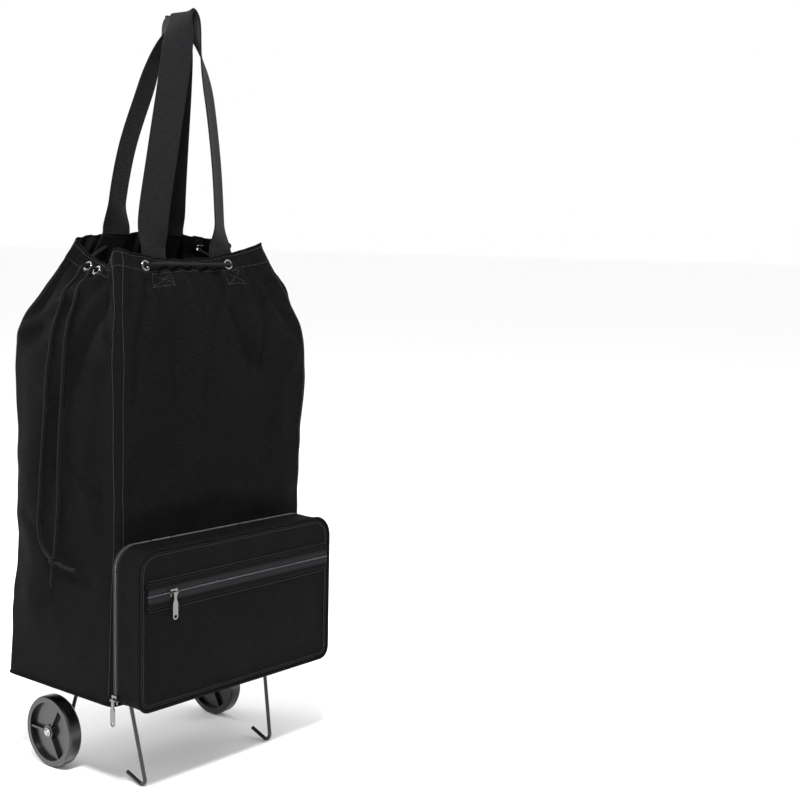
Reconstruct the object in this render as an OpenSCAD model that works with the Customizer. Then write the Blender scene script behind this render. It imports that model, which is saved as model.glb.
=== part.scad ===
// Shopping trolley: a fabric bag with a front pouch, on two folding wire frames with wheels.
// Millimetres. X is to the right seen from the front, -Y is the front, Z is up, the floor is z = 0.

/* [Bag] */
// Width of the bag at its base
bag_width = 330; // [300:1:360]
// Depth of the bag at its base, front to back
bag_depth = 210; // [180:1:240]
// Height of the inside of the base over the floor
base_height = 120; // [110:1:130]
// Thickness of the doubled fabric of the walls
fabric_t = 1.5; // [1:0.1:2]
// Thickness of the stiff board in the base
board_t = 3; // [2:0.5:5]

/* [Pouch] */
// Width of the pouch on the front of the bag
pouch_width = 328; // [300:1:360]
// Height of the pouch
pouch_height = 196; // [160:1:220]
// How far the pouch stands out from the bag
pouch_depth = 48; // [30:1:60]
// Radius of the top corners of the pouch
pouch_top_r = 28; // [15:1:40]
// Radius of the bottom corners of the pouch
pouch_bottom_r = 15; // [8:1:25]
// Height of the zip across the pouch, over the floor
front_zip_z = 260; // [200:1:290]

/* [Frame] */
// Diameter of the frame wire
wire_d = 5; // [4:0.5:6]
// Distance of each hinge run from the middle
hinge_x = 117; // [100:1:130]
// Height of the hinge runs
hinge_z = 115; // [112:0.5:116]
// Diameter of the wheels
wheel_d = 93; // [85:1:100]
// Width of the wheels
wheel_w = 19; // [14:1:24]
// Distance of the axles behind the middle of the bag
axle_y = 45; // [35:1:55]

/* [Handles and cord] */
// Width of the handle webbing
webbing_w = 40; // [30:1:50]
// Thickness of the handle webbing
webbing_t = 1.6; // [1.2:0.1:2.5]
// Diameter of the drawstring
cord_d = 4.5; // [4:0.5:6]

/* [Hidden] */
$fn = 64;

// The whole trolley is moved by this, so that the middle of its footprint is at x = y = 0
to_middle = [0, 22, 0];

black = "#17181a";
cloth_black = "#1d1e20";
webbing_black = "#141416";
nickel = "#c9cacc";
steel = "#b9bcc0";

half_w = bag_width / 2;
half_d = bag_depth / 2;
gap = 0.3;

// Corners of the bag in the order front left, front right, rear right, rear left, from the base to the rim
levels = [
  [[-half_w, -half_d, base_height], [half_w, -half_d, base_height],
   [half_w, half_d, base_height], [-half_w - 3, half_d, base_height]],
  [[-160, -105, 190], [162, -105, 190], [163, 104, 190], [-164, 104, 190]],
  [[-155, -105, 300], [159, -105, 300], [160, 103, 300], [-155, 103, 300]],
  [[-155, -105, 420], [161, -105, 420], [161, 102, 420], [-154, 102, 420]],
  [[-155, -105, 550], [168, -105, 548], [166, 100, 550], [-153, 100, 556]],
  [[-155, -104, 610], [142, -93, 612], [148, 50, 612], [-133, 70, 618]],
  [[-148, -93, 670], [108, -78, 679], [118, -5, 676], [-110, 35, 680]]
];
// How far the middle of the front, right, back and left side stands off its chord, at the same levels
bulges = [
  [[0, 0, 0], [0, 0, 0], [0, 0, 0], [0, 0, 0]],
  [[0, 0, 0], [5, 0, 0], [0, 4, 0], [-5, 0, 0]],
  [[0, 0, 0], [8, 0, 0], [0, 6, 0], [-8, 0, 0]],
  [[0, 0, 0], [8, 0, 0], [0, 6, 0], [-8, 0, 0]],
  [[0, -3, 0], [2, 0, 0], [0, 4, 0], [-5, 0, 0]],
  [[0, -2, 0], [-8, 0, 0], [0, 0, 0], [4, 0, 0]],
  [[0, 4, -18], [-14, 0, -24], [0, -2, 10], [14, 0, -26]]
];
rim = len(levels) - 1;
columns = 8;
FRONT = 0;
RIGHT = 1;
BACK = 2;
LEFT = 3;

function unit(v) = v / norm(v);
function blend(a, b, t) = a + (b - a) * t;
function inward(corner) = [corner % 3 == 0 ? 1 : -1, corner < 2 ? 1 : -1, 0];
function bag_corner(level, corner, inset) = levels[level][corner] + inset * inward(corner);
function row_point(side, level, u, inset) =
  blend(bag_corner(level, side, inset), bag_corner(level, (side + 1) % 4, inset), u)
  + 4 * u * (1 - u) * bulges[level][side];
// A point on the top band of a side: v is 0 at the shoulder level and 1 at the rim
function band_point(side, u, v, inset = 0) =
  blend(row_point(side, rim - 1, u, inset), row_point(side, rim, u, inset), v);
function band_normal(side, u, v) =
  unit(cross(band_point(side, u + 0.05, v) - band_point(side, u - 0.05, v),
             band_point(side, u, v + 0.05) - band_point(side, u, v - 0.05)));

// Two triangles of a quadrangle
function quad(a, b, c, d) = [[a, b, c], [a, c, d]];
function flat(lists) = [for (l = lists) for (x = l) x];

// A closed slab between an outer and an inner grid of points, each of rows + 1 by cols + 1
function grid_id(layer, r, c, rows, cols) = (layer * (rows + 1) + r) * (cols + 1) + c;
function slab_faces(rows, cols) = flat(concat(
  [for (r = [0 : rows - 1]) for (c = [0 : cols - 1])
    quad(grid_id(0, r, c, rows, cols), grid_id(0, r + 1, c, rows, cols),
         grid_id(0, r + 1, c + 1, rows, cols), grid_id(0, r, c + 1, rows, cols))],
  [for (r = [0 : rows - 1]) for (c = [0 : cols - 1])
    quad(grid_id(1, r, c, rows, cols), grid_id(1, r, c + 1, rows, cols),
         grid_id(1, r + 1, c + 1, rows, cols), grid_id(1, r + 1, c, rows, cols))],
  [for (c = [0 : cols - 1])
    quad(grid_id(0, 0, c, rows, cols), grid_id(0, 0, c + 1, rows, cols),
         grid_id(1, 0, c + 1, rows, cols), grid_id(1, 0, c, rows, cols))],
  [for (c = [0 : cols - 1])
    quad(grid_id(0, rows, c + 1, rows, cols), grid_id(0, rows, c, rows, cols),
         grid_id(1, rows, c, rows, cols), grid_id(1, rows, c + 1, rows, cols))],
  [for (r = [0 : rows - 1])
    quad(grid_id(0, r + 1, 0, rows, cols), grid_id(0, r, 0, rows, cols),
         grid_id(1, r, 0, rows, cols), grid_id(1, r + 1, 0, rows, cols))],
  [for (r = [0 : rows - 1])
    quad(grid_id(0, r, cols, rows, cols), grid_id(0, r + 1, cols, rows, cols),
         grid_id(1, r + 1, cols, rows, cols), grid_id(1, r, cols, rows, cols))]
));

// A closed sweep through rings of n points each
function ring_faces(count, n) = concat(
  flat([for (k = [0 : count - 2]) for (i = [0 : n - 1])
    quad(k * n + i, k * n + (i + 1) % n, (k + 1) * n + (i + 1) % n, (k + 1) * n + i)]),
  [for (i = [1 : n - 2]) [0, i + 1, i]],
  [for (i = [1 : n - 2]) [(count - 1) * n, (count - 1) * n + i, (count - 1) * n + i + 1]]
);

// A smooth curve through hand-chosen points
function curve_point(a, b, c, d, t) =
  0.5 * ((2 * b) + (c - a) * t + (2 * a - 5 * b + 4 * c - d) * t * t + (3 * b - a - 3 * c + d) * t * t * t);
function curve(points, steps) = concat(
  [for (i = [0 : len(points) - 2]) for (k = [0 : steps - 1])
    curve_point(points[max(i - 1, 0)], points[i], points[i + 1], points[min(i + 2, len(points) - 1)],
                k / steps)],
  [points[len(points) - 1]]
);
function tangent(path, k) = unit(path[min(k + 1, len(path) - 1)] - path[max(k - 1, 0)]);
function tube_ring(centre, along, beside, r, sides) =
  let (a = unit(cross(along, beside)), b = cross(along, a))
  [for (i = [0 : sides - 1]) centre + r * (cos(360 * i / sides) * a + sin(360 * i / sides) * b)];

// A limp cord along a path; beside is a direction that the cord never runs along
module cord(path, beside) {
  sides = 8;
  rings = [for (k = [0 : len(path) - 1]) tube_ring(path[k], tangent(path, k), beside, cord_d / 2, sides)];
  polyhedron(flat(rings), ring_faces(len(path), sides), convexity = 10);
}

// A bent round wire: cylinders between the corners, with a bend of its own radius at each corner
function bend_angle(p, i) = acos(unit(p[i] - p[i - 1]) * unit(p[i + 1] - p[i]));
function bend_cut(p, r, i) = (i == 0 || i == len(p) - 1) ? 0 : r[i] * tan(bend_angle(p, i) / 2);
module rod(from, to, d) {
  along = unit(to - from);
  beside = unit(cross(abs(along[2]) < 0.9 ? [0, 0, 1] : [1, 0, 0], along));
  other = cross(along, beside);
  multmatrix([[beside[0], other[0], along[0], from[0]],
              [beside[1], other[1], along[1], from[1]],
              [beside[2], other[2], along[2], from[2]],
              [0, 0, 0, 1]])
    cylinder(h = norm(to - from), d = d);
}
module bend(before, at, after, r, d) {
  u_in = unit(at - before);
  u_out = unit(after - at);
  turn = acos(u_in * u_out);
  axis = unit(cross(u_in, u_out));
  to_start = cross(u_in, axis);
  centre = at - u_in * r * tan(turn / 2) - to_start * r;
  multmatrix([[to_start[0], u_in[0], axis[0], centre[0]],
              [to_start[1], u_in[1], axis[1], centre[1]],
              [to_start[2], u_in[2], axis[2], centre[2]],
              [0, 0, 0, 1]])
    rotate_extrude(angle = turn) translate([r, 0]) circle(d = d);
}
module bent_wire(p, r, d) {
  // the rods end a little inside the bends, which are fuller by a hair, so no two surfaces are tangent
  for (i = [0 : len(p) - 2]) {
    along = unit(p[i + 1] - p[i]);
    lap_in = i == 0 ? 0 : bend_lap;
    lap_out = i == len(p) - 2 ? 0 : bend_lap;
    rod(p[i] + along * (bend_cut(p, r, i) - lap_in), p[i + 1] - along * (bend_cut(p, r, i + 1) - lap_out), d);
  }
  for (i = [1 : len(p) - 2]) bend(p[i - 1], p[i], p[i + 1], r[i], d + 2 * bend_full);
}

// Side wire: stub axle, rear leg, hinge run, front leg, hooked foot
wire_r = wire_d / 2;
front_bend_y = -78;
rear_bend_y = 20;
corner_r = 8;
axle_r = 6;
bend_lap = 0.4;
bend_full = 0.05;
foot_r = 7.5;
leg_lean = 11.5;
leg_tuck = 4;
hook_rise = 20;
hook_length = 25;
axle_end_x = 152;
foot_turn = 90 + leg_lean + hook_rise;
foot_drop = (hinge_z - wire_r - bend_full) / cos(leg_tuck) - foot_r;
// The front leg lies in a plane through the hinge run that is tucked in at the foot
function leg_point(y, drop) = [-hinge_x + drop * sin(leg_tuck), y, hinge_z - drop * cos(leg_tuck)];
leg_end_drop = foot_drop - foot_r * sin(leg_lean);
foot_corner_drop = leg_end_drop + foot_r * tan(foot_turn / 2) * cos(leg_lean);
foot_corner_y = front_bend_y - foot_corner_drop * tan(leg_lean);
hook_run = foot_r * tan(foot_turn / 2) + hook_length;
side_wire_corners = [
  [-axle_end_x, axle_y, wheel_d / 2],
  [-hinge_x, axle_y, wheel_d / 2],
  [-hinge_x, rear_bend_y, hinge_z],
  [-hinge_x, front_bend_y, hinge_z],
  leg_point(foot_corner_y, foot_corner_drop),
  leg_point(foot_corner_y + hook_run * cos(hook_rise), foot_corner_drop - hook_run * sin(hook_rise))
];
side_wire_bends = [0, axle_r, corner_r, corner_r, foot_r, 0];

// Clips under the base, with the rivets that hold them
clip_fit = 0.05;
clip_wall = 0.9;
clip_length = 14;
wing_t = 1.2;
wing_x = 13;
clip_ys = [-55, 0];
rivet_x = 9;
rivet_r = 2;
rivet_head_r = 3.8;
rivet_head_t = 1.2;
stop_t = 1.5;
stop_y = [14, 32];
stop_z = 100;
base_bottom = base_height - fabric_t;
rivet_spots = [for (side = [-1, 1]) for (y = clip_ys) for (x = [-rivet_x, rivet_x]) [side * hinge_x + x, y]];

// Wheels and what holds them on the axles
wheel_x = 130.3;
wheel_fit = 0.08;
rim_inner_r = 38;
hub_r = 9;
web_t = 7;
rib_t = 2.4;
washer_r = 6;
washer_t = 1.2;
washer_x = wheel_x - washer_t - gap;
nut_r = 5.5;
nut_x = wheel_x + wheel_w + gap;

// Pouch: from the bag outwards come the bag half of the zip, the cover half, the gusset and the front
pouch_back = -half_d;
pouch_front = pouch_back - pouch_depth;
tape_w = 5;
tape_t = 1.2;
tape_inset = 0.5;
sewn_flange = 11;
open_edge = 4;
corner_steps = 8;
cover_back = pouch_back - tape_w - gap;
gusset_back = cover_back - tape_w;
zip_tape_x = [-150, 160];
zip_tape_h = 26;

// Zip sliders: the puller hangs from a pin that stands off the slider
slider_t = 1.8;
pin_r = 0.8;
pin_fit = 0.05;
pin_off = 4;
ear_t = 1.2;
knuckle_w = 4;
knuckle_r = 1.6;
ear_r = 1.4;
puller_length = 33;
puller_t = 1.4;
puller_w = 8;
puller_hole_r = 2.2;
front_slider_at = [-112, pouch_front - tape_t - gap, front_zip_z];
pouch_slider_at = [-pouch_width / 2 - gap, pouch_back - tape_w - gap / 2, base_height + 9];

// Eyelets: side, place along the side and up its top band
eyelet_spots = [
  [FRONT, 0.18, 0.78], [FRONT, 0.72, 0.78], [RIGHT, 0.32, 0.8], [RIGHT, 0.7, 0.8],
  [BACK, 0.2, 0.82], [BACK, 0.8, 0.82], [LEFT, 0.3, 0.78], [LEFT, 0.46, 0.78]
];
eyelet_hole_r = 4;
eyelet_barrel_r = 4.8;
eyelet_r = 7;
eyelet_t = 0.7;

// Handles: the hinge lines of the feet, and the arch of each strap
front_feet = [[-79, -79, 671], [36, -73.5, 671]];
back_feet = [[-58, 18, 694], [20, 4, 694]];
front_top = [2, -41, 966];
back_top = [24, 1, 968];
// Side, place along it and top of each sewn end, in the same order
tab_spots = [[FRONT, 0.27, 1.165], [FRONT, 0.72, 1.065], [BACK, 0.43, 1.045], [BACK, 0.772, 1.06]];

// The rest of the drawstring: its run round the rim, its two free strands, the knot and the tails
knot_r = 6.5;
knot_at = [-171, 1, 282];
rim_route = [
  [-119, -20, 643], [-113, -23, 640], [-112, -58, 644], [-104, -84, 648], [-101, -97, 651], [-75, -95, 652],
  [-30, -91, 651], [10, -90, 651], [40, -89, 651], [44, -77, 650], [76, -67, 648], [102, -55, 645],
  [111, -51, 651], [113, -37, 651], [115, -22, 650], [106, -18, 646], [94, -5, 655], [75, 7, 667],
  [77, 16, 673], [5, 26, 678], [-66, 38, 675], [-67, 28, 671], [-94, 21, 658], [-111, 2, 644], [-115, 1, 646]
];
front_strand_route = [
  [-119, -20, 643], [-125, -20, 646], [-131, -19, 636], [-149, -17, 600], [-161, -14, 560],
  [-164, -10, 500], [-166, -5, 420], [-166, -2, 350], [-170, 0, 287]
];
rear_strand_route = [
  [-115, 1, 646], [-121, 1, 649], [-128, 3, 639], [-147, 9, 600], [-160, 15, 560], [-163, 22, 500],
  [-165, 30, 420], [-165, 37, 350], [-166, 38, 318], [-168, 28, 296], [-171, 6, 284]
];
tail_ends = [[-169, -40, 277], [-169.5, 7, 250]];

front_strap_route = [
  front_feet[0], [-77, -77, 710], [-61, -73, 780], [-39, -65, 860], [-20, -55, 920], [-9, -46, 952],
  front_top, [11, -46, 954], [18, -54, 920], [26, -63, 860], [33, -69, 780], [36, -72, 710], front_feet[1]
];
back_strap_route = [
  back_feet[0], [-55, 18, 735], [-40, 17, 800], [-16, 12, 870], [4, 7, 928], [15, 3, 956],
  back_top, [32, 3, 956], [35, 6, 928], [34, 8, 870], [28, 7, 800], [22, 5, 735], back_feet[1]
];

module placed(shade) {
  color(shade) translate(to_middle) children();
}

module panel(side) {
  points = [for (inset = [0, fabric_t]) for (level = [0 : rim]) for (c = [0 : columns])
    row_point(side, level, c / columns, inset)];
  polyhedron(points, slab_faces(rim, columns), convexity = 6);
}

// Turns the z axis onto a direction at a point
module facing(at, along) {
  beside = unit(cross([0, 0, 1], along));
  up = cross(along, beside);
  multmatrix([[beside[0], up[0], along[0], at[0]],
              [beside[1], up[1], along[1], at[1]],
              [beside[2], up[2], along[2], at[2]],
              [0, 0, 0, 1]])
    children();
}

module at_eyelets(side) {
  for (e = eyelet_spots) if (side < 0 || e[0] == side)
    facing(band_point(e[0], e[1], e[2], fabric_t / 2), band_normal(e[0], e[1], e[2])) children();
}

module pierced_panel(side) {
  difference() {
    panel(side);
    at_eyelets(side) cylinder(h = 12, r = eyelet_barrel_r, center = true);
  }
}

module front_panel() placed(cloth_black) pierced_panel(FRONT);
module right_panel() placed(cloth_black) pierced_panel(RIGHT);
module back_panel() placed(cloth_black) pierced_panel(BACK);
module left_panel() placed(cloth_black) pierced_panel(LEFT);

module rivet_holes() {
  for (r = rivet_spots) translate([r[0], r[1], base_bottom - 10]) cylinder(h = 30, r = rivet_r);
}

module base_panel() placed(cloth_black) difference() {
  translate([-half_w, -half_d, base_bottom]) cube([bag_width, bag_depth, fabric_t]);
  rivet_holes();
}

module base_board() placed(black) difference() {
  translate([-half_w + 6, -half_d + 6, base_height]) cube([bag_width - 12, bag_depth - 12, board_t]);
  rivet_holes();
}

module eyelets() placed(nickel) at_eyelets(-1) rotate_extrude() {
  half = fabric_t / 2 + eyelet_t + 0.3;
  translate([eyelet_hole_r, -half]) square([eyelet_barrel_r - eyelet_hole_r, 2 * half]);
  for (y = [-half, half - eyelet_t]) translate([eyelet_hole_r, y]) square([eyelet_r - eyelet_hole_r, eyelet_t]);
}

module handle_tab(side, u, v_top) {
  half_u = webbing_w / 2 / norm(band_point(side, 1, 0.5) - band_point(side, 0, 0.5));
  points = [for (inset = [fabric_t + 0.6, fabric_t + 0.6 + webbing_t]) for (v = [0.1, v_top])
    for (w = [u - half_u, u + half_u]) band_point(side, w, v, inset)];
  polyhedron(points, slab_faces(1, 1), convexity = 2);
}

module handle_tabs() placed(webbing_black) {
  difference() {
    for (t = tab_spots) handle_tab(t[0], t[1], t[2]);
    at_eyelets(-1) cylinder(h = 16, r = eyelet_r + 0.5, center = true);
  }
}

module drawstring_rim() placed(webbing_black) cord(curve(rim_route, 2), [0, 0, 1]);
module drawstring_front_strand() placed(webbing_black) cord(curve(front_strand_route, 4), [0, 1, 0]);
module drawstring_rear_strand() placed(webbing_black) cord(curve(rear_strand_route, 4), [0, 1, 0]);
module drawstring_knot() placed(webbing_black) {
  translate(knot_at) sphere(r = knot_r);
  for (end = tail_ends) rod(knot_at, end, cord_d);
}

// Outline of the pouch seen from the front, set in from its widest
function arc(centre, r, from, to) =
  [for (k = [0 : corner_steps]) let (a = from + (to - from) * k / corner_steps) centre + r * [cos(a), sin(a)]];
function pouch_outline(inset) =
  let (x_top = pouch_width / 2 - pouch_top_r, z_top = base_height + pouch_height - pouch_top_r,
       x_low = pouch_width / 2 - pouch_bottom_r, z_low = base_height + pouch_bottom_r)
  concat(arc([x_top, z_top], pouch_top_r - inset, 0, 90), arc([-x_top, z_top], pouch_top_r - inset, 90, 180),
         arc([-x_low, z_low], pouch_bottom_r - inset, 180, 270),
         arc([x_low, z_low], pouch_bottom_r - inset, 270, 360));
module forward(y, depth) {
  translate([0, y, 0]) rotate([90, 0, 0]) linear_extrude(depth) children();
}
module pouch_ring(inset, t) {
  difference() {
    polygon(pouch_outline(inset));
    polygon(pouch_outline(inset + t));
  }
}

module pouch_zip_tape_bag() placed(webbing_black) difference() {
  union() {
    forward(pouch_back, tape_w) pouch_ring(tape_inset, tape_t);
    forward(pouch_back, tape_t) pouch_ring(tape_inset, sewn_flange);
  }
  translate([-bag_width, pouch_back - pouch_depth, base_height - 1])
    cube([2 * bag_width, 2 * pouch_depth, open_edge + 1]);
}

module pouch_zip_tape_cover() placed(webbing_black) difference() {
  forward(cover_back, tape_w) pouch_ring(tape_inset, tape_t);
  translate([-bag_width, pouch_back - pouch_depth, base_height - 1])
    cube([2 * bag_width, 2 * pouch_depth, open_edge + 1]);
}

module pouch_gusset() placed(cloth_black) {
  forward(gusset_back, gusset_back - pouch_front - fabric_t) pouch_ring(0, fabric_t);
  // the bottom of the gusset goes back to the hinge edge
  translate([pouch_bottom_r - pouch_width / 2, gusset_back, base_height])
    cube([pouch_width - 2 * pouch_bottom_r, pouch_back - gap - gusset_back, fabric_t]);
}

module pouch_front_panel() placed(cloth_black)
  forward(pouch_front + fabric_t, fabric_t) polygon(pouch_outline(0));

module front_zip_tape() placed(webbing_black)
  translate([zip_tape_x[0], pouch_front - tape_t, front_zip_z - zip_tape_h / 2])
    cube([zip_tape_x[1] - zip_tape_x[0], tape_t, zip_tape_h]);

// Stands at the middle of its inner face, with the pin along x and the outside towards -y
module zip_slider(w, h) {
  translate([-w / 2, -slider_t, -h / 2]) cube([w, slider_t, h]);
  for (side = [-1, 1])
    translate([side * (knuckle_w / 2 + gap + ear_t / 2) - ear_t / 2, -pin_off - ear_r, -ear_r])
      cube([ear_t, pin_off + ear_r - slider_t / 2, 2 * ear_r]);
  translate([-ear_t - gap - knuckle_w / 2, -pin_off, 0]) rotate([0, 90, 0])
    cylinder(h = knuckle_w + 2 * gap + 2 * ear_t, r = pin_r);
}

module zip_puller() {
  difference() {
    union() {
      translate([-knuckle_w / 2, -pin_off, 0]) rotate([0, 90, 0]) cylinder(h = knuckle_w, r = knuckle_r);
      forward(-pin_off + puller_t / 2, puller_t) difference() {
        union() {
          polygon([[knuckle_w / 2, 0], [knuckle_w / 2, -8], [puller_w / 2, -13], [puller_w / 2, puller_w / 2 - puller_length],
                   [-puller_w / 2, puller_w / 2 - puller_length], [-puller_w / 2, -13], [-knuckle_w / 2, -8],
                   [-knuckle_w / 2, 0]]);
          translate([0, puller_w / 2 - puller_length]) circle(d = puller_w);
        }
        translate([0, puller_w / 2 - puller_length]) circle(r = puller_hole_r);
      }
    }
    translate([-knuckle_w, -pin_off, 0]) rotate([0, 90, 0]) cylinder(h = 2 * knuckle_w, r = pin_r + pin_fit);
  }
}

module front_slider() placed(nickel) translate(front_slider_at) zip_slider(11, 9);
module front_puller() placed(nickel) translate(front_slider_at) zip_puller();
module pouch_slider() placed(nickel) translate(pouch_slider_at) rotate([0, 0, -90]) zip_slider(9, 11);
module pouch_puller() placed(nickel) translate(pouch_slider_at) rotate([0, 0, -90]) zip_puller();

module side_wire() bent_wire(side_wire_corners, side_wire_bends, wire_d);
module left_side_wire() placed(black) side_wire();
module right_side_wire() placed(black) mirror([1, 0, 0]) side_wire();

// Two saddles round the hinge run; the rear one carries the tab that the rear leg stands against
module wire_clips() {
  difference() {
    for (y = clip_ys) {
      translate([-hinge_x, y + clip_length / 2, hinge_z]) rotate([90, 0, 0])
        cylinder(h = clip_length, r = wire_r + clip_fit + clip_wall);
      translate([-hinge_x - wing_x, y - clip_length / 2, base_bottom - wing_t])
        cube([2 * wing_x, clip_length, wing_t]);
    }
    translate([-hinge_x, bag_depth, hinge_z]) rotate([90, 0, 0])
      cylinder(h = 2 * bag_depth, r = wire_r + clip_fit);
    rivet_holes();
  }
  translate([-hinge_x - wing_x, clip_ys[1] + clip_length / 2, base_bottom - wing_t])
    cube([wing_x - wire_r - gap, stop_y[1] - clip_ys[1] - clip_length / 2, wing_t]);
  translate([-hinge_x - wire_r - gap - stop_t, stop_y[0], stop_z])
    cube([stop_t, stop_y[1] - stop_y[0], base_bottom - stop_z]);
}
module left_wire_clips() placed(steel) wire_clips();
module right_wire_clips() placed(steel) mirror([1, 0, 0]) wire_clips();

module clip_rivets() placed(steel) for (r = rivet_spots) translate([r[0], r[1], base_bottom - wing_t]) {
  translate([0, 0, -rivet_head_t]) cylinder(h = rivet_head_t, r = rivet_head_r);
  cylinder(h = wing_t + fabric_t + board_t, r = rivet_r);
  translate([0, 0, wing_t + fabric_t + board_t]) cylinder(h = rivet_head_t, r = rivet_head_r);
}

// Pieces on the left axle stand on their inner face and point outwards
module on_axle(x) {
  translate([-x, axle_y, wheel_d / 2]) rotate([0, -90, 0]) children();
}
module wheel() on_axle(wheel_x) {
  r = wheel_d / 2;
  web_low = (wheel_w - web_t) / 2;
  web_high = (wheel_w + web_t) / 2;
  rotate_extrude() polygon([
    [wire_r + wheel_fit, 0], [hub_r, 0], [hub_r, web_low], [rim_inner_r, web_low], [rim_inner_r, 0],
    [r - 2, 0], [r - 0.3, 2.5], [r, 6], [r, wheel_w - 6], [r - 0.3, wheel_w - 2.5], [r - 2, wheel_w],
    [rim_inner_r, wheel_w], [rim_inner_r, web_high], [hub_r, web_high], [hub_r, wheel_w],
    [wire_r + wheel_fit, wheel_w]
  ]);
  for (a = [90, 210, 330]) rotate([0, 0, a]) translate([hub_r - 1, -rib_t / 2, 1])
    cube([rim_inner_r - hub_r + 2, rib_t, wheel_w - 2]);
}
module left_wheel() placed(black) wheel();
module right_wheel() placed(black) mirror([1, 0, 0]) wheel();

module washer() on_axle(washer_x) difference() {
  cylinder(h = washer_t, r = washer_r);
  translate([0, 0, -1]) cylinder(h = washer_t + 2, r = wire_r);
}
module left_washer() placed(steel) washer();
module right_washer() placed(steel) mirror([1, 0, 0]) washer();

module push_nut() on_axle(nut_x) {
  depth = axle_end_x - nut_x;
  rotate_extrude() polygon([
    [0, depth], [wire_r, depth], [wire_r, 0], [nut_r, 0], [nut_r, 0.8], [nut_r - 1.3, 1.2],
    [nut_r - 2, depth + 0.6], [nut_r - 3, depth + 1], [0, depth + 1.2]
  ]);
}
module left_push_nut() placed(steel) push_nut();
module right_push_nut() placed(steel) mirror([1, 0, 0]) push_nut();

// A strap swept along a path; its width turns from along the feet, through front to back at the top
function ease(x) = let (t = max(0, min(1, x))) t * t * (3 - 2 * t);
function twist_at(s) = 28 * ease(s / 0.15) + 62 * ease((s - 0.5) / 0.42);
function strap_turn(k, count, foot_turn, way) =
  let (s = 2 * k / (count - 1)) foot_turn + way * (s <= 1 ? twist_at(s) : 180 - twist_at(2 - s));
function strap_ring(centre, along, turn) =
  let (w = [cos(turn), sin(turn), 0], side = unit(w - along * (w * along)), face = cross(side, along))
  [for (k = [[-1, -1], [1, -1], [1, 1], [-1, 1]])
    centre + k[0] * side * webbing_w / 2 + k[1] * face * webbing_t / 2];
module strap(route, feet, way) {
  path = curve(route, 3);
  line = feet[1] - feet[0];
  foot_turn = atan2(line[1], line[0]);
  rings = [for (k = [0 : len(path) - 1])
    strap_ring(path[k], tangent(path, k), strap_turn(k, len(path), foot_turn, way))];
  polyhedron(flat(rings), ring_faces(len(path), 4), convexity = 10);
}
module front_handle_strap() placed(webbing_black) strap(front_strap_route, front_feet, -1);
module back_handle_strap() placed(webbing_black) strap(back_strap_route, back_feet, 1);

front_panel();
right_panel();
back_panel();
left_panel();
base_panel();
base_board();
eyelets();
handle_tabs();
drawstring_rim();
drawstring_front_strand();
drawstring_rear_strand();
drawstring_knot();
pouch_zip_tape_bag();
left_wire_clips();
right_wire_clips();
clip_rivets();
left_side_wire();
right_side_wire();
left_washer();
right_washer();
left_push_nut();
right_push_nut();
left_wheel();
right_wheel();
pouch_gusset();
pouch_front_panel();
pouch_zip_tape_cover();
front_zip_tape();
front_slider();
front_puller();
pouch_slider();
pouch_puller();
front_handle_strap();
back_handle_strap();
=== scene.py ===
"""Shopping trolley on wheels: a gathered fabric bag with a front pouch on two folding wire frames."""

import math

import bpy
import numpy as np
from mathutils import Matrix, Vector, noise


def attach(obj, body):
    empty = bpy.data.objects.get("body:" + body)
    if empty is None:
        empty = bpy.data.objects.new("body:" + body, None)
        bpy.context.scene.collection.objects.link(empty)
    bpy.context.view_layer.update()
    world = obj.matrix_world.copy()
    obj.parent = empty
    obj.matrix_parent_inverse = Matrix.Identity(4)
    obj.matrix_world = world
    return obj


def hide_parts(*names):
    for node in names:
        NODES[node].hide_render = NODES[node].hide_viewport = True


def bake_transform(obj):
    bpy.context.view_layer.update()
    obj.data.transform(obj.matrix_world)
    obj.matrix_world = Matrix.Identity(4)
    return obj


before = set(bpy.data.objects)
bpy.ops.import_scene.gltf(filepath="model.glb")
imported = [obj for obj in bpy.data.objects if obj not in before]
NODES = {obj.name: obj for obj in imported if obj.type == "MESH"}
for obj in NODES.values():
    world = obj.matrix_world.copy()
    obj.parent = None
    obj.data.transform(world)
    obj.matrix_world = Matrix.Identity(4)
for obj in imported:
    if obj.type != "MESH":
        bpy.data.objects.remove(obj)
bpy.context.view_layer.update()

bl_info = {
    "name": "Shopping trolley on wheels",
    "version": (1, 0, 0),
    "blender": (4, 5, 0),
    "location": "3D View > Sidebar > Trolley",
    "description": "Makes the fabric, webbing, zips and finishes of a folding shopping trolley",
    "category": "Object",
}

MM = 0.001
# The bag is drawn round its own middle, and stands this far behind the frame's origin, in mm
TO_MIDDLE = np.array([0.0, 22.0, 0.0])

# Corners of the bag, in mm: front left, front right, rear right, rear left, from the base to the rim
LEVELS = np.array(
    [
        [[-165, -105, 119], [165, -105, 119], [165, 105, 119], [-168, 105, 119]],
        [[-160, -105, 190], [162, -105, 190], [163, 104, 190], [-164, 104, 190]],
        [[-155, -105, 300], [159, -105, 300], [160, 103, 300], [-155, 103, 300]],
        [[-155, -105, 420], [161, -105, 420], [161, 102, 420], [-154, 102, 420]],
        [[-155, -105, 550], [168, -105, 548], [166, 100, 550], [-153, 100, 556]],
        [[-155, -104, 610], [142, -93, 612], [148, 50, 612], [-133, 70, 618]],
        [[-148, -93, 670], [108, -78, 679], [118, -5, 676], [-110, 35, 680]],
    ],
    float,
)
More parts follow.
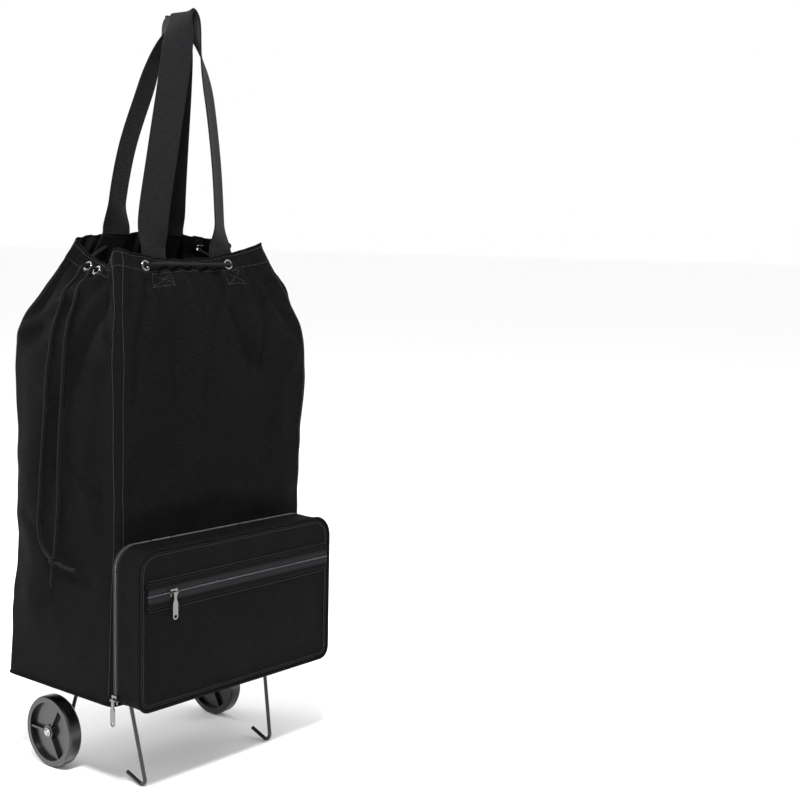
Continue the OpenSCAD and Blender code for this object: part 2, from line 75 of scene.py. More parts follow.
# How far the middle of the front, right, back and left side stands off its chord, in mm
BULGES = np.array(
    [
        [[0, 0, 0], [0, 0, 0], [0, 0, 0], [0, 0, 0]],
        [[0, 0, 0], [5, 0, 0], [0, 4, 0], [-5, 0, 0]],
        [[0, 0, 0], [8, 0, 0], [0, 6, 0], [-8, 0, 0]],
        [[0, 0, 0], [8, 0, 0], [0, 6, 0], [-8, 0, 0]],
        [[0, -3, 0], [2, 0, 0], [0, 4, 0], [-5, 0, 0]],
        [[0, -2, 0], [-8, 0, 0], [0, 0, 0], [4, 0, 0]],
        [[0, 4, -18], [-14, 0, -24], [0, -2, 10], [14, 0, -26]],
    ],
    float,
)
FRONT, RIGHT, BACK, LEFT = range(4)
TOP = len(LEVELS) - 1
BASE_Z = 119.0
# Eyelets: side, place along it, height on the band under the rim
EYELETS = [
    (FRONT, 0.18, 0.78), (FRONT, 0.72, 0.78), (RIGHT, 0.32, 0.8), (RIGHT, 0.7, 0.8),
    (BACK, 0.2, 0.82), (BACK, 0.8, 0.82), (LEFT, 0.3, 0.78), (LEFT, 0.46, 0.78),
]
# Routes of the drawstring in mm: its run through the eyelets, and its two free ends down the left side
RIM_ROUTE = [
    (-119, -20, 643), (-113, -23, 640), (-112, -58, 644), (-104, -84, 648), (-101, -97, 651),
    (-75, -95, 652), (-30, -91, 651), (10, -90, 651), (40, -89, 651), (44, -77, 650), (76, -67, 648),
    (102, -55, 645), (111, -51, 651), (113, -37, 651), (115, -22, 650), (106, -18, 646), (94, -5, 655),
    (75, 7, 667), (77, 16, 673), (5, 26, 678), (-66, 38, 675), (-67, 28, 671), (-94, 21, 658),
    (-111, 2, 644), (-115, 1, 646),
]
FRONT_STRAND = [
    (-119, -20, 643), (-125, -20, 646), (-131, -19, 636), (-149, -17, 600), (-161, -14, 560),
    (-164, -10, 500), (-166, -5, 420), (-166, -2, 350), (-170, 0, 287),
]
REAR_STRAND = [
    (-115, 1, 646), (-121, 1, 649), (-128, 3, 639), (-147, 9, 600), (-160, 15, 560), (-163, 22, 500),
    (-165, 30, 420), (-165, 37, 350), (-166, 38, 318), (-168, 28, 296), (-171, 6, 284),
]
KNOT_AT = (-171, 1, 282)
TAIL_ENDS = [(-169, -40, 277), (-169.5, 7, 250)]
CORD_D = 4.5
# Depth of the ripple between the cord's three strands, as a share of its radius, and its turn per mm
LAY = {"ripple": 0.035, "turns": 0.28}
# Radius of a stitch, in metres
THREAD_R = 0.00042


# ---------------------------------------------------------------- sizes and colours that a user may change


class FabricSizes(bpy.types.PropertyGroup):
    """The bag's cloth"""

    colour: bpy.props.FloatVectorProperty(
        name="Cloth colour", description="sRGB colour of the coated polyester", subtype="COLOR_GAMMA",
        size=3, min=0, max=1, default=(0.060, 0.052, 0.063),
    )
    thickness: bpy.props.FloatProperty(
        name="Cloth thickness", description="Thickness of the wall with its coating", unit="LENGTH",
        default=0.0012, min=0.0005, max=0.003,
    )
    fold_depth: bpy.props.FloatProperty(
        name="Fold depth", description="How deep the pressed folds are, as a share of the drawn ones",
        subtype="FACTOR", default=1.0, min=0.0, max=1.5,
    )
    piping: bpy.props.FloatProperty(
        name="Piping radius", description="Radius of the corded edge of the pouch", unit="LENGTH",
        default=0.0019, min=0.001, max=0.004,
    )


class WebbingSizes(bpy.types.PropertyGroup):
    """The handles"""

    width: bpy.props.FloatProperty(
        name="Webbing width", description="Width of the handle webbing", unit="LENGTH",
        default=0.038, min=0.02, max=0.05,
    )
    thickness: bpy.props.FloatProperty(
        name="Webbing thickness", description="Thickness of the handle webbing", unit="LENGTH",
        default=0.0017, min=0.001, max=0.003,
    )
    rib: bpy.props.FloatProperty(
        name="Rib spacing", description="Distance between the cross ribs of the webbing", unit="LENGTH",
        default=0.0026, min=0.001, max=0.006,
    )


class TrimSizes(bpy.types.PropertyGroup):
    """Stitching, zips and eyelets"""

    stitch_pitch: bpy.props.FloatProperty(
        name="Stitch pitch", description="Distance from one stitch to the next", unit="LENGTH",
        default=0.0034, min=0.002, max=0.008,
    )
    tooth_pitch: bpy.props.FloatProperty(
        name="Zip tooth pitch", description="Distance from one turn of the zip's coil to the next",
        unit="LENGTH", default=0.0017, min=0.001, max=0.003,
    )
    metal: bpy.props.FloatVectorProperty(
        name="Trim metal", description="sRGB colour of the nickel plating", subtype="COLOR_GAMMA",
        size=3, min=0, max=1, default=(0.44, 0.44, 0.43),
    )


GROUPS = {"trolley_fabric": FabricSizes, "trolley_webbing": WebbingSizes, "trolley_trim": TrimSizes}


def settings(name):
    return getattr(bpy.context.scene, name)


# ---------------------------------------------------------------- materials


def srgb(colour):
    """An sRGB hex string, or three sRGB numbers, as a list of three numbers."""
    if isinstance(colour, str):
        return [int(colour[i : i + 2], 16) / 255 for i in (1, 3, 5)]
    return list(colour)


def linear(colour):
    """An sRGB colour as linear RGBA."""
    return [c / 12.92 if c <= 0.04045 else ((c + 0.055) / 1.055) ** 2.4 for c in srgb(colour)] + [1.0]


def shaded(colour, share):
    return [c * share for c in srgb(colour)]


def add_node(tree, kind, props=None, inputs=None):
    """Adds a node with its settings; an input is a value or another node's output socket."""
    node = tree.nodes.new(kind)
    for key, value in (props or {}).items():
        setattr(node, key, value)
    for key, value in (inputs or {}).items():
        if isinstance(value, bpy.types.NodeSocket):
            tree.links.new(value, node.inputs[key])
        else:
            node.inputs[key].default_value = value
    return node


def new_material(name):
    """A node material with an empty tree."""
    material = bpy.data.materials.new(name)
    material.use_nodes = True
    material.node_tree.nodes.clear()
    return material, material.node_tree


def surface(tree, inputs):
    """Ends a material's tree with its Principled shader and output."""
    shader = add_node(tree, "ShaderNodeBsdfPrincipled", inputs=inputs)
    add_node(tree, "ShaderNodeOutputMaterial", inputs={"Surface": shader.outputs[0]})


def two_tones(tree, factor, low, high, ends=(0.0, 1.0)):
    ramp = add_node(tree, "ShaderNodeValToRGB", inputs={"Fac": factor})
    for stop, place, colour in zip(ramp.color_ramp.elements, ends, (low, high)):
        stop.position = place
        stop.color = linear(colour)
    return ramp.outputs["Color"]


def woven(name, low, high, pitch, rough, bump, sheen=0.0):
    """Woven thread over and under at a pitch in metres, on the piece's own UV map in metres."""
    material, tree = new_material(name)
    uv = add_node(tree, "ShaderNodeUVMap", {"uv_map": "cloth"}).outputs["UV"]
    split = add_node(tree, "ShaderNodeSeparateXYZ", inputs={0: uv})
    waves = []
    for axis in (0, 1):
        turn = add_node(tree, "ShaderNodeMath", {"operation": "MULTIPLY"},
                        {0: split.outputs[axis], 1: 2 * math.pi / pitch})
        waves.append(add_node(tree, "ShaderNodeMath", {"operation": "SINE"}, {0: turn.outputs[0]}).outputs[0])
    plain = add_node(tree, "ShaderNodeMath", {"operation": "MULTIPLY"}, {0: waves[0], 1: waves[1]})
    # uneven threads run across the cloth as short darker and lighter lines
    drawn = add_node(tree, "ShaderNodeMapping", inputs={
        "Vector": uv, "Scale": (0.16 / pitch, 1.1 / pitch, 1.0)})
    slub = add_node(tree, "ShaderNodeTexNoise", inputs={
        "Vector": drawn.outputs["Vector"], "Scale": 1.0, "Detail": 3.0})
    mixed = add_node(tree, "ShaderNodeMath", {"operation": "MULTIPLY_ADD"},
                     {0: slub.outputs["Fac"], 1: 4.0, 2: plain.outputs[0]})
    cloudy = add_node(tree, "ShaderNodeTexNoise", inputs={"Vector": uv, "Scale": 14.0, "Detail": 4.0})
    tone = add_node(tree, "ShaderNodeMath", {"operation": "MULTIPLY_ADD", "use_clamp": True},
                    {0: mixed.outputs[0], 1: 0.26, 2: -0.02})
    roughness = add_node(tree, "ShaderNodeMapRange", inputs={
        "Value": cloudy.outputs["Fac"], "To Min": rough - 0.07, "To Max": rough + 0.07})
    height = add_node(tree, "ShaderNodeBump", inputs={
        "Strength": bump, "Distance": pitch * 0.25, "Height": mixed.outputs[0]})
    surface(tree, {
        "Base Color": two_tones(tree, tone.outputs[0], low, high, (0.2, 0.8)),
        "Roughness": roughness.outputs["Result"],
        "Normal": height.outputs["Normal"],
        # loose fibres scatter most of the gloss that a smooth polymer would show
        "Specular IOR Level": 0.04,
        "Sheen Weight": sheen,
        "Sheen Roughness": 0.4,
    })
    return material


def plated(name, colour, rough):
    """Bright metal with fine handling marks, on Object coordinates."""
    material, tree = new_material(name)
    place = add_node(tree, "ShaderNodeTexCoord").outputs["Object"]
    marks = add_node(tree, "ShaderNodeTexNoise", inputs={"Vector": place, "Scale": 900.0, "Detail": 4.0})
    roughness = add_node(tree, "ShaderNodeMapRange", inputs={
        "Value": marks.outputs["Fac"], "To Min": rough * 0.7, "To Max": rough * 1.4})
    surface(tree, {
        "Base Color": two_tones(tree, marks.outputs["Fac"], shaded(colour, 0.82), colour),
        "Roughness": roughness.outputs["Result"],
        "Metallic": 1.0,
    })
    return material


def moulded(name, low, high, rough, grain, bump, coat=0.0, gloss=0.35):
    """Moulded plastic or paint: a slight mottle and a fine grain, on Object coordinates."""
    material, tree = new_material(name)
    place = add_node(tree, "ShaderNodeTexCoord").outputs["Object"]
    mottle = add_node(tree, "ShaderNodeTexNoise", inputs={"Vector": place, "Scale": 60.0, "Detail": 5.0})
    roughness = add_node(tree, "ShaderNodeMapRange", inputs={
        "Value": mottle.outputs["Fac"], "To Min": rough - 0.06, "To Max": rough + 0.08})
    fine = add_node(tree, "ShaderNodeTexNoise", inputs={"Vector": place, "Scale": grain, "Detail": 3.0})
    height = add_node(tree, "ShaderNodeBump", inputs={
        "Strength": bump, "Distance": 0.0002, "Height": fine.outputs["Fac"]})
    surface(tree, {
        "Base Color": two_tones(tree, mottle.outputs["Fac"], low, high),
        "Roughness": roughness.outputs["Result"],
        "Normal": height.outputs["Normal"],
        "Specular IOR Level": gloss,
        "Coat Weight": coat,
        "Coat Roughness": 0.15,
    })
    return material


MATERIALS = {}


def make_materials():
    cloth = settings("trolley_fabric").colour
    # Coated 600-denier polyester: near black with a cool cast; its real 0.6 mm thread spacing is drawn at
    # 1.6 mm so that the weave shows
    MATERIALS["cloth"] = woven("coated_polyester", shaded(cloth, 0.06), shaded(cloth, 0.8), 0.0016, 0.72, 0.7)
    # The same cloth from its coated inside: duller and smoother
    MATERIALS["lining"] = woven("coated_polyester_inside", "#0e0d0f", "#161518", 0.0016, 0.7, 0.25)
    # Polypropylene webbing, woven in ribs: a little glossier than the cloth, with thread at 1.2 mm
    MATERIALS["webbing"] = woven("polypropylene_webbing", "#060606", "#131214", 0.0012, 0.6, 0.6, 0.03)
    # Braided polyester cord: soft black
    MATERIALS["cord"] = woven("braided_cord", "#050505", "#0d0d0e", 0.0022, 0.7, 0.9, 0.03)
    # Woven zip tape, finer than the cloth
    MATERIALS["tape"] = woven("zip_tape", "#0c0b0d", "#1b1a1c", 0.0011, 0.6, 0.5, 0.03)
    # Spun polyester sewing thread: shinier than the cloth round it
    MATERIALS["thread"] = moulded("sewing_thread", "#0e0e10", "#18181b", 0.4, 4000.0, 0.3, 0.1)
    # Nylon coil of the zips: smooth extruded monofilament
    MATERIALS["coil"] = moulded("nylon_coil", "#18181b", "#26262a", 0.28, 3000.0, 0.1, 0.3)
    # Nickel plate over brass and zinc: mid grey with bright highlights
    MATERIALS["nickel"] = plated("nickel_plate", settings("trolley_trim").metal, 0.16)
    # Zinc-plated steel of the clips, washers and rivets: greyer and duller
    MATERIALS["zinc"] = plated("zinc_plated_steel", "#9da0a3", 0.32)
    # Black powder coat on the wire: slight orange peel, satin
    MATERIALS["wire"] = moulded("black_powder_coat", "#070707", "#0e0e0f", 0.3, 1500.0, 0.25, 0.12)
    # Wheels moulded in black polypropylene: glossy, with faint flow marks
    MATERIALS["wheel"] = moulded("moulded_polypropylene", "#070708", "#0f0f10", 0.3, 900.0, 0.12, 0.12)
    # Grey-black fibreboard stiffener in the base
    MATERIALS["board"] = moulded("base_fibreboard", "#151516", "#1f1f20", 0.75, 1800.0, 0.5, 0.0, 0.15)


# ---------------------------------------------------------------- meshes


def unit(vectors):
    return vectors / np.linalg.norm(vectors, axis=-1, keepdims=True)


def travelled(path):
    """Distance along a path at each of its points."""
    return np.concatenate([[0], np.cumsum(np.linalg.norm(np.diff(path, axis=0), axis=1))])


def in_metres(points):
    """Points in mm about the bag's middle, as metres in the frame."""
    return (np.asarray(points, float) + TO_MIDDLE) * MM


def spline(a, b, c, d, f):
    """A smooth line from b to c, from their neighbours a and d."""
    return 0.5 * (2 * b + (c - a) * f + (2 * a - 5 * b + 4 * c - d) * f**2 + (3 * b - a - 3 * c + d) * f**3)


def new_object(name, data):
    obj = bpy.data.objects.new(name, data)
    bpy.context.scene.collection.objects.link(obj)
    return obj


def made_mesh(name, shape, material):
    """A mesh object from verts in mm, faces, and one UV pair in metres per corner."""
    verts, faces, uv = shape
    mesh = bpy.data.meshes.new(name)
    mesh.from_pydata(in_metres(verts).tolist(), [], [list(map(int, f)) for f in faces])
    layer = mesh.uv_layers.new(name="cloth")
    layer.data.foreach_set("uv", np.asarray(uv, np.float32).ravel())
    mesh.update()
    mesh.validate()
    mesh.shade_smooth()
    mesh.materials.append(MATERIALS[material])
    return new_object(name, mesh)


def grid(points, closed=False, coords=None, flip=False):
    """Verts, faces and corner UVs of a rows x columns grid of points in mm."""
    rows, cols = points.shape[:2]
    verts = points.reshape(-1, 3)
    if coords is None:
        along = np.zeros((rows, cols))
        along[:, 1:] = np.cumsum(np.linalg.norm(np.diff(points, axis=1), axis=2), axis=1)
        up = np.zeros((rows, cols))
        up[1:] = np.cumsum(np.linalg.norm(np.diff(points, axis=0), axis=2), axis=0)
        coords = np.stack([along, up], axis=2) * MM
    faces, uv = [], []
    last = cols if closed else cols - 1
    for r in range(rows - 1):
        for c in range(last):
            d = (c + 1) % cols
            quad = [(r, c), (r, d), (r + 1, d), (r + 1, c)]
            if flip:
                quad.reverse()
            faces.append([a * cols + b for a, b in quad])
            for a, b in quad:
                u, v = coords[a, b]
                if closed and d == 0 and b == 0:
                    u = coords[a, cols - 1][0] + np.linalg.norm(points[a, 0] - points[a, cols - 1]) * MM
                uv.append((u, v))
    return verts, faces, uv


def joined(parts):
    """Several (verts, faces, uv) as one."""
    verts, faces, uv, n = [], [], [], 0
    for v, f, t in parts:
        verts.append(np.asarray(v))
        faces += [[i + n for i in face] for face in f]
        uv += list(t)
        n += len(v)
    return np.concatenate(verts), faces, uv


def ring_frames(path, beside):
    """Two directions across a path at each of its points, from one that the path never follows."""
    along = unit(np.gradient(path, axis=0))
    across = unit(np.cross(along, np.broadcast_to(beside, along.shape)))
    return along, across, np.cross(along, across)


def tube(path, radius, beside=(0, 0, 1), sides=12, closed=False, ripple=0.0, turns=0.0):
    """A tube in mm, with ends closed by a small dome; ripple and turns make a lay of strands."""
    path = np.asarray(path, float)
    if closed:
        near = np.concatenate([path[-1:], path, path[:1]])
        along, across, up = (x[1:-1] for x in ring_frames(near, beside))
    else:
        along, across, up = ring_frames(path, beside)
    angle = np.linspace(0, 2 * math.pi, sides, endpoint=False)
    lay = radius * (1 + ripple * np.cos(3 * (angle[None, :] + turns * travelled(path)[:, None])))
    rings = (path[:, None, :] + lay[..., None] * (np.cos(angle)[None, :, None] * across[:, None, :]
                                                   + np.sin(angle)[None, :, None] * up[:, None, :]))
    if not closed:
        for end, step in ((0, -1), (-1, 1)):
            dome = [path[end] + (rings[end] - path[end]) * k + step * along[end] * radius * h
                    for k, h in ((0.75, 0.45), (0.3, 0.7))]
            rings = np.concatenate([dome[::-1], rings] if end == 0 else [rings, dome])
    coords = np.zeros(rings.shape[:2] + (2,))
    coords[..., 0] = angle[None, :] * radius * MM
    coords[..., 1] = travelled(rings.mean(axis=1))[:, None] * MM
    if closed:
        rings = np.concatenate([rings, rings[:1]])
        coords = np.concatenate([coords, coords[-1:] + [0, radius * MM]])
    verts, faces, uv = grid(rings, closed=True, coords=coords, flip=True)
    if not closed:
        for row, order in ((0, 1), (len(rings) - 1, -1)):
            cap = [row * sides + i for i in range(sides)][::order]
            faces.append(cap)
            uv += [(0.0, 0.0)] * sides
    return verts, faces, uv


def smooth_curve(points, steps, closed=False):
    """A curve through given points, as the CAD cord has it."""
    p = np.asarray(points, float)
    n = len(p)
    out = []
    for i in range(n if closed else n - 1):
        a, b, c, d = (p[k % n] if closed else p[min(max(k, 0), n - 1)] for k in (i - 1, i, i + 1, i + 2))
        out += [spline(a, b, c, d, t) for t in np.arange(steps) / steps]
    if not closed:
        out.append(p[-1])
    return np.array(out)


def evenly(path, step):
    """The path with points a step apart, in mm."""
    path = np.asarray(path, float)
    s = travelled(path)
    n = max(2, int(round(s[-1] / step)) + 1)
    t = np.linspace(0, s[-1], n)
    return np.stack([np.interp(t, s, path[:, k]) for k in range(3)], axis=1)


def add_part(obj, body, slot, *nodes):
    """A finished piece rides on its body and stands for its CAD nodes; slot is not used."""
    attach(obj, body)
    if nodes:
        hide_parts(*nodes)
    return obj


# ---------------------------------------------------------------- the bag's wall

# Pressed folds: side, depth in mm (minus is a valley), half width in mm, then points on that side as
# (distance along x or y, height)
FOLDS = [
    (LEFT, -10, 13, [(-48, 636), (-70, 605), (-33, 534), (17, 456), (24, 395)]),
    (LEFT, -4, 6, [(-53, 614), (-98, 556)]),
    (LEFT, 6, 10, [(-34, 632), (20, 600), (88, 560)]),
    (LEFT, -8, 16, [(62, 640), (66, 600), (52, 570)]),
    (LEFT, -3, 4, [(4, 419), (-34, 392), (-70, 368)]),
    (LEFT, 4, 26, [(58, 520), (64, 360), (50, 220)]),
    (LEFT, -4, 12, [(-80, 520), (-62, 430), (-76, 330)]),
    (LEFT, -3, 9, [(70, 330), (10, 286), (-60, 268)]),
    (FRONT, -7, 7, [(34, 592), (52, 554), (64, 524)]),
    (FRONT, -6, 7, [(96, 604), (92, 566), (84, 520)]),
    (FRONT, -6, 34, [(-85, 545), (-75, 480), (-80, 420)]),
    (FRONT, 4, 8, [(60, 640), (66, 590), (72, 540)]),
    (FRONT, -8, 8, [(160, 552), (128, 590), (112, 628)]),
    (FRONT, 4, 12, [(160, 545), (124, 500), (118, 430)]),
    (FRONT, -5, 9, [(-100, 632), (-118, 575), (-126, 480)]),
    (FRONT, -4, 9, [(-92, 630), (-62, 560), (-58, 490)]),
    (FRONT, -4, 10, [(34, 630), (-4, 565), (-14, 480)]),
    (FRONT, 4, 12, [(-30, 632), (-34, 560), (-30, 470)]),
    (FRONT, 3, 15, [(-140, 352), (0, 360), (140, 346)]),
    (RIGHT, -7, 10, [(-52, 632), (-46, 570), (-36, 470)]),
    (RIGHT, -6, 11, [(-20, 634), (14, 580), (24, 480)]),
    (RIGHT, 5, 12, [(-76, 560), (-70, 420), (-76, 260)]),
    (RIGHT, -3, 10, [(70, 420), (20, 340), (-50, 300)]),
    (BACK, -6, 10, [(-68, 650), (-86, 580), (-92, 480)]),
    (BACK, -6, 10, [(76, 650), (64, 580), (56, 480)]),
    (BACK, 5, 14, [(0, 656), (4, 560), (-6, 420)]),
    (BACK, -3, 12, [(-110, 300), (0, 250), (110, 290)]),
]
COLUMNS = {FRONT: 66, RIGHT: 42, BACK: 66, LEFT: 42}
ROWS = 132
HEM_T = 5.58


def at_level(table, t):
    """Rows of a table at heights t, on a smooth line through its levels."""
    t = np.clip(np.asarray(t, float), 0, TOP)
    i = np.minimum(t.astype(int), TOP - 1)
    f = (t - i).reshape(-1, *([1] * (table.ndim - 1)))
    a, b, c, d = (table[np.clip(i + k, 0, TOP)] for k in (-1, 0, 1, 2))
    return spline(a, b, c, d, f)


def plain_wall(side, u, t):
    """Points of a side without folds, for matching lists of u along it and t up it."""
    u = np.asarray(u, float).reshape(-1, 1)
    corners = at_level(LEVELS, t)
    a, b = corners[:, side], corners[:, (side + 1) % 4]
    return a * (1 - u) + b * u + 4 * u * (1 - u) * at_level(BULGES, t)[:, side]


def band_point(side, u, v):
    """A point on the band under the rim, drawn straight as the CAD has it."""
    def row(level):
        a, b = LEVELS[level][side], LEVELS[level][(side + 1) % 4]
        return a * (1 - u) + b * u + 4 * u * (1 - u) * BULGES[level][side]
    return row(TOP - 1) * (1 - v) + row(TOP) * v


def band_normal(side, u, v):
    return unit(np.cross(band_point(side, u + 0.05, v) - band_point(side, u - 0.05, v),
                         band_point(side, u, v + 0.05) - band_point(side, u, v - 0.05)))


def smoothstep(x, low, high):
    x = np.clip((x - low) / (high - low), 0, 1)
    return x * x * (3 - 2 * x)


def to_line(points, line):
    """Distance in the plane from each point to a polyline."""
    best = np.full(points.shape[:-1], 1e9)
    for a, b in zip(np.asarray(line[:-1], float), np.asarray(line[1:], float)):
        ab = b - a
        f = np.clip(((points - a) @ ab) / (ab @ ab), 0, 1)
        best = np.minimum(best, np.linalg.norm(points - (a + f[..., None] * ab), axis=-1))
    return best


def grid_normals(points):
    """Outward normals of a rows x columns grid that closes along its columns."""
    wide = np.concatenate([points[:, -1:], points, points[:, :1]], axis=1)
    return unit(np.cross(wide[:, 2:] - wide[:, :-2], np.gradient(points, axis=0)))


def noise_field(points, size, seed):
    flat = points.reshape(-1, 3) / size + seed
    return np.array([noise.noise(Vector(p)) for p in flat]).reshape(points.shape[:-1])


WALL = {}


def wall():
    """The folded wall as a grid of points in mm, its normals, its rows' heights and its eyelet holes."""
    if WALL:
        return WALL
    t = np.linspace(0, TOP, ROWS)
    columns = [(side, (i + 0.5) / n) for side, n in COLUMNS.items() for i in range(n)]
    points = np.stack([plain_wall(side, np.full(ROWS, u), t) for side, u in columns], axis=1)
    # the vertical edges are soft: each row is eased near its corners
    for _ in range(3):
        eased = 0.25 * np.roll(points, 1, 1) + 0.5 * points + 0.25 * np.roll(points, -1, 1)
        points[:, :, :2] = eased[:, :, :2]
    normals = grid_normals(points)
    sides = np.array([side for side, _ in columns])
    us = np.array([u for _, u in columns])
    push = np.zeros(points.shape[:2])
    for side, depth, width, line in FOLDS:
        axis = 0 if side in (FRONT, BACK) else 1
        own = sides == side
        flat = points[:, own][:, :, [axis, 2]]
        away = to_line(flat, line)
        push[:, own] += depth * np.exp(-((away / width) ** 2)) * (1 - 0.25 * (away > 3 * width))
    # folds die out on the way to a corner, so that two sides meet in one line
    push *= smoothstep(np.minimum(us, 1 - us), 0.0, 0.09)[None, :]
    push *= settings("trolley_fabric").fold_depth
    slack = smoothstep(t, 0.15, 1.2)[:, None]
    push += slack * (3.2 * noise_field(points, 74, 3.7) + 1.3 * noise_field(points, 27, 11.3))
    # pleats gathered by the drawstring
    length = travelled(points[-1])
    wander = 2.6 * noise_field(points, 46, 21.0)
    gather = smoothstep(t, 4.3, 5.4) * (1 - 0.35 * smoothstep(t, 5.6, 6.0))
    pleat = np.sin(2 * math.pi * length[None, :] / 23 + wander) + 0.4 * np.sin(
        2 * math.pi * length[None, :] / 9.5 + 2 * wander)
    push += 2.5 * gather[:, None] * pleat
    # the front stays behind the pouch's tapes, the bottom edge on its seam, and the cloth flat at an eyelet
    behind = (sides == FRONT)[None, :] & (points[:, :, 2] < 326)
    push = np.where(behind, np.minimum(push, 0.0) * 0.6, push)
    push *= smoothstep(t, 0.0, 0.35)[:, None]
    spots = [band_point(*e) for e in EYELETS]
    for spot in spots:
        push *= smoothstep(np.linalg.norm(points - spot, axis=2), 8, 24)
    points = points + normals * push[..., None]
    points += normals * (0.8 * smoothstep(t, HEM_T - 0.02, HEM_T + 0.03))[:, None, None]
    # a hole opens at each eyelet: the cell there is drawn onto the spot, then spread round it
    holes = []
    for spot in spots:
        cells = 0.25 * (points[:-1] + np.roll(points, -1, 1)[:-1] + points[1:] + np.roll(points, -1, 1)[1:])
        r, c = np.unravel_index(np.argmin(np.linalg.norm(cells - spot, axis=2)), cells.shape[:2])
        away = np.linalg.norm(points - cells[r, c], axis=2)
        points = points + (spot - cells[r, c]) * np.exp(-((away / 16) ** 2))[..., None]
        out = points - spot
        away = np.maximum(np.linalg.norm(out, axis=2), 1e-6)
        wide = np.where(away < 18, 3.6 * (1 - away / 18) + away, away)
        points = spot + out * (wide / away)[..., None]
        holes.append((r, c))
    WALL.update(points=points, normals=grid_normals(points), t=t, holes=holes)
    return WALL


def on_wall(line, off):
    """Points moved onto the folded wall and off it by some mm."""
    w = wall()
    flat, normals = w["points"].reshape(-1, 3), w["normals"].reshape(-1, 3)
    out = []
    for p in np.asarray(line, float):
        near = np.argsort(np.linalg.norm(flat - p, axis=1))[:4]
        n = unit(normals[near].mean(axis=0))
        out.append(p + n * (np.mean((flat[near] - p) @ n) + off))
    return np.array(out)


def wall_column(column, low, high, off):
    """A line up the wall on a column, between two heights t."""
    w = wall()
    rows = (w["t"] >= low) & (w["t"] <= high)
    return w["points"][rows, column] + w["normals"][rows, column] * off


def wall_row(height, off):
    """A closed line round the wall at a height t."""
    w = wall()
    row = int(np.argmin(abs(w["t"] - height)))
    return w["points"][row] + w["normals"][row] * off


# ---------------------------------------------------------------- repeats made with Geometry Nodes


def repeat_group(name, segments, rings):
    """A node group that sets a drawn-out bead along a line at a pitch, turned to lie along the line."""
    tree = bpy.data.node_groups.new(name, "GeometryNodeTree")
    face = tree.interface
    face.new_socket("Line", in_out="INPUT", socket_type="NodeSocketGeometry")
    for label, value in (("Pitch", 0.003), ("Length", 0.002), ("Radius", 0.0004)):
        face.new_socket(label, in_out="INPUT", socket_type="NodeSocketFloat").default_value = value
    face.new_socket("Material", in_out="INPUT", socket_type="NodeSocketMaterial")
    face.new_socket("Repeats", in_out="OUTPUT", socket_type="NodeSocketGeometry")
    start = tree.nodes.new("NodeGroupInput")
    end = tree.nodes.new("NodeGroupOutput")
    line = add_node(tree, "GeometryNodeMeshToCurve", inputs={"Mesh": start.outputs["Line"]})
    spots = add_node(tree, "GeometryNodeCurveToPoints", {"mode": "LENGTH"},
                     {"Curve": line.outputs[0], "Length": start.outputs["Pitch"]})
    scale = add_node(tree, "ShaderNodeCombineXYZ", inputs={
        "X": start.outputs["Radius"], "Y": start.outputs["Radius"], "Z": start.outputs["Length"]})
    ball = add_node(tree, "GeometryNodeMeshUVSphere", inputs={
        "Segments": segments, "Rings": rings, "Radius": 1.0})
    bead = add_node(tree, "GeometryNodeTransform", inputs={
        "Geometry": ball.outputs["Mesh"], "Scale": scale.outputs[0]})
    placed = add_node(tree, "GeometryNodeInstanceOnPoints", inputs={
        "Points": spots.outputs["Points"], "Rotation": spots.outputs["Rotation"],
        "Instance": bead.outputs[0]})
    real = add_node(tree, "GeometryNodeRealizeInstances", inputs={"Geometry": placed.outputs[0]})
    finish = add_node(tree, "GeometryNodeSetMaterial", inputs={
        "Geometry": real.outputs[0], "Material": start.outputs["Material"]})
    tree.links.new(finish.outputs[0], end.inputs["Repeats"])
    return tree


def evaluated_mesh(obj):
    """A plain mesh of an object as its modifiers leave it."""
    bpy.context.view_layer.update()
    return bpy.data.meshes.new_from_object(obj.evaluated_get(bpy.context.evaluated_depsgraph_get()))


def repeated(name, lines, group, pitch, length, radius, material):
    """Units along several open lines in mm, as one plain mesh."""
    verts, edges = [], []
    for line in lines:
        n = len(verts)
        verts += in_metres(line).tolist()
        edges += [(n + i, n + i + 1) for i in range(len(line) - 1)]
    mesh = bpy.data.meshes.new(name + "_line")
    mesh.from_pydata(verts, edges, [])
    carrier = new_object(name + "_line", mesh)
    modifier = carrier.modifiers.new("Repeats", "NODES")
    modifier.node_group = group
    values = {"Pitch": pitch, "Length": length, "Radius": radius, "Material": MATERIALS[material]}
    for item in group.interface.items_tree:
        if item.in_out == "INPUT" and item.name in values:
            modifier[item.identifier] = values[item.name]
    carrier.update_tag()
    made = evaluated_mesh(carrier)
    if not made.polygons:
        raise RuntimeError(name + " has no repeats")
    made.name = name
    made.shade_smooth()
    obj = new_object(name, made)
    bpy.data.objects.remove(carrier)
    bpy.data.meshes.remove(mesh)
    return obj


def stitches(name, lines, body, slot):
    """Lines of sewing: each stitch is one bead of thread."""
    trim = settings("trolley_trim")
    group = bpy.data.node_groups.get("Stitches") or repeat_group("Stitches", 6, 4)
    obj = repeated(name, [evenly(line, 2.0) for line in lines], group, trim.stitch_pitch,
                   trim.stitch_pitch * 0.40, THREAD_R, "thread")
    return add_part(obj, body, slot)


def teeth(name, lines, body, radius):
    """Zip coils: each turn is one thin, rounded disc."""
    trim = settings("trolley_trim")
    group = bpy.data.node_groups.get("Coil") or repeat_group("Coil", 8, 5)
    obj = repeated(name, [evenly(line, 1.5) for line in lines], group, trim.tooth_pitch,
                   trim.tooth_pitch * 0.48, radius, "coil")
    return add_part(obj, body, "zip_tape")


# ---------------------------------------------------------------- pieces


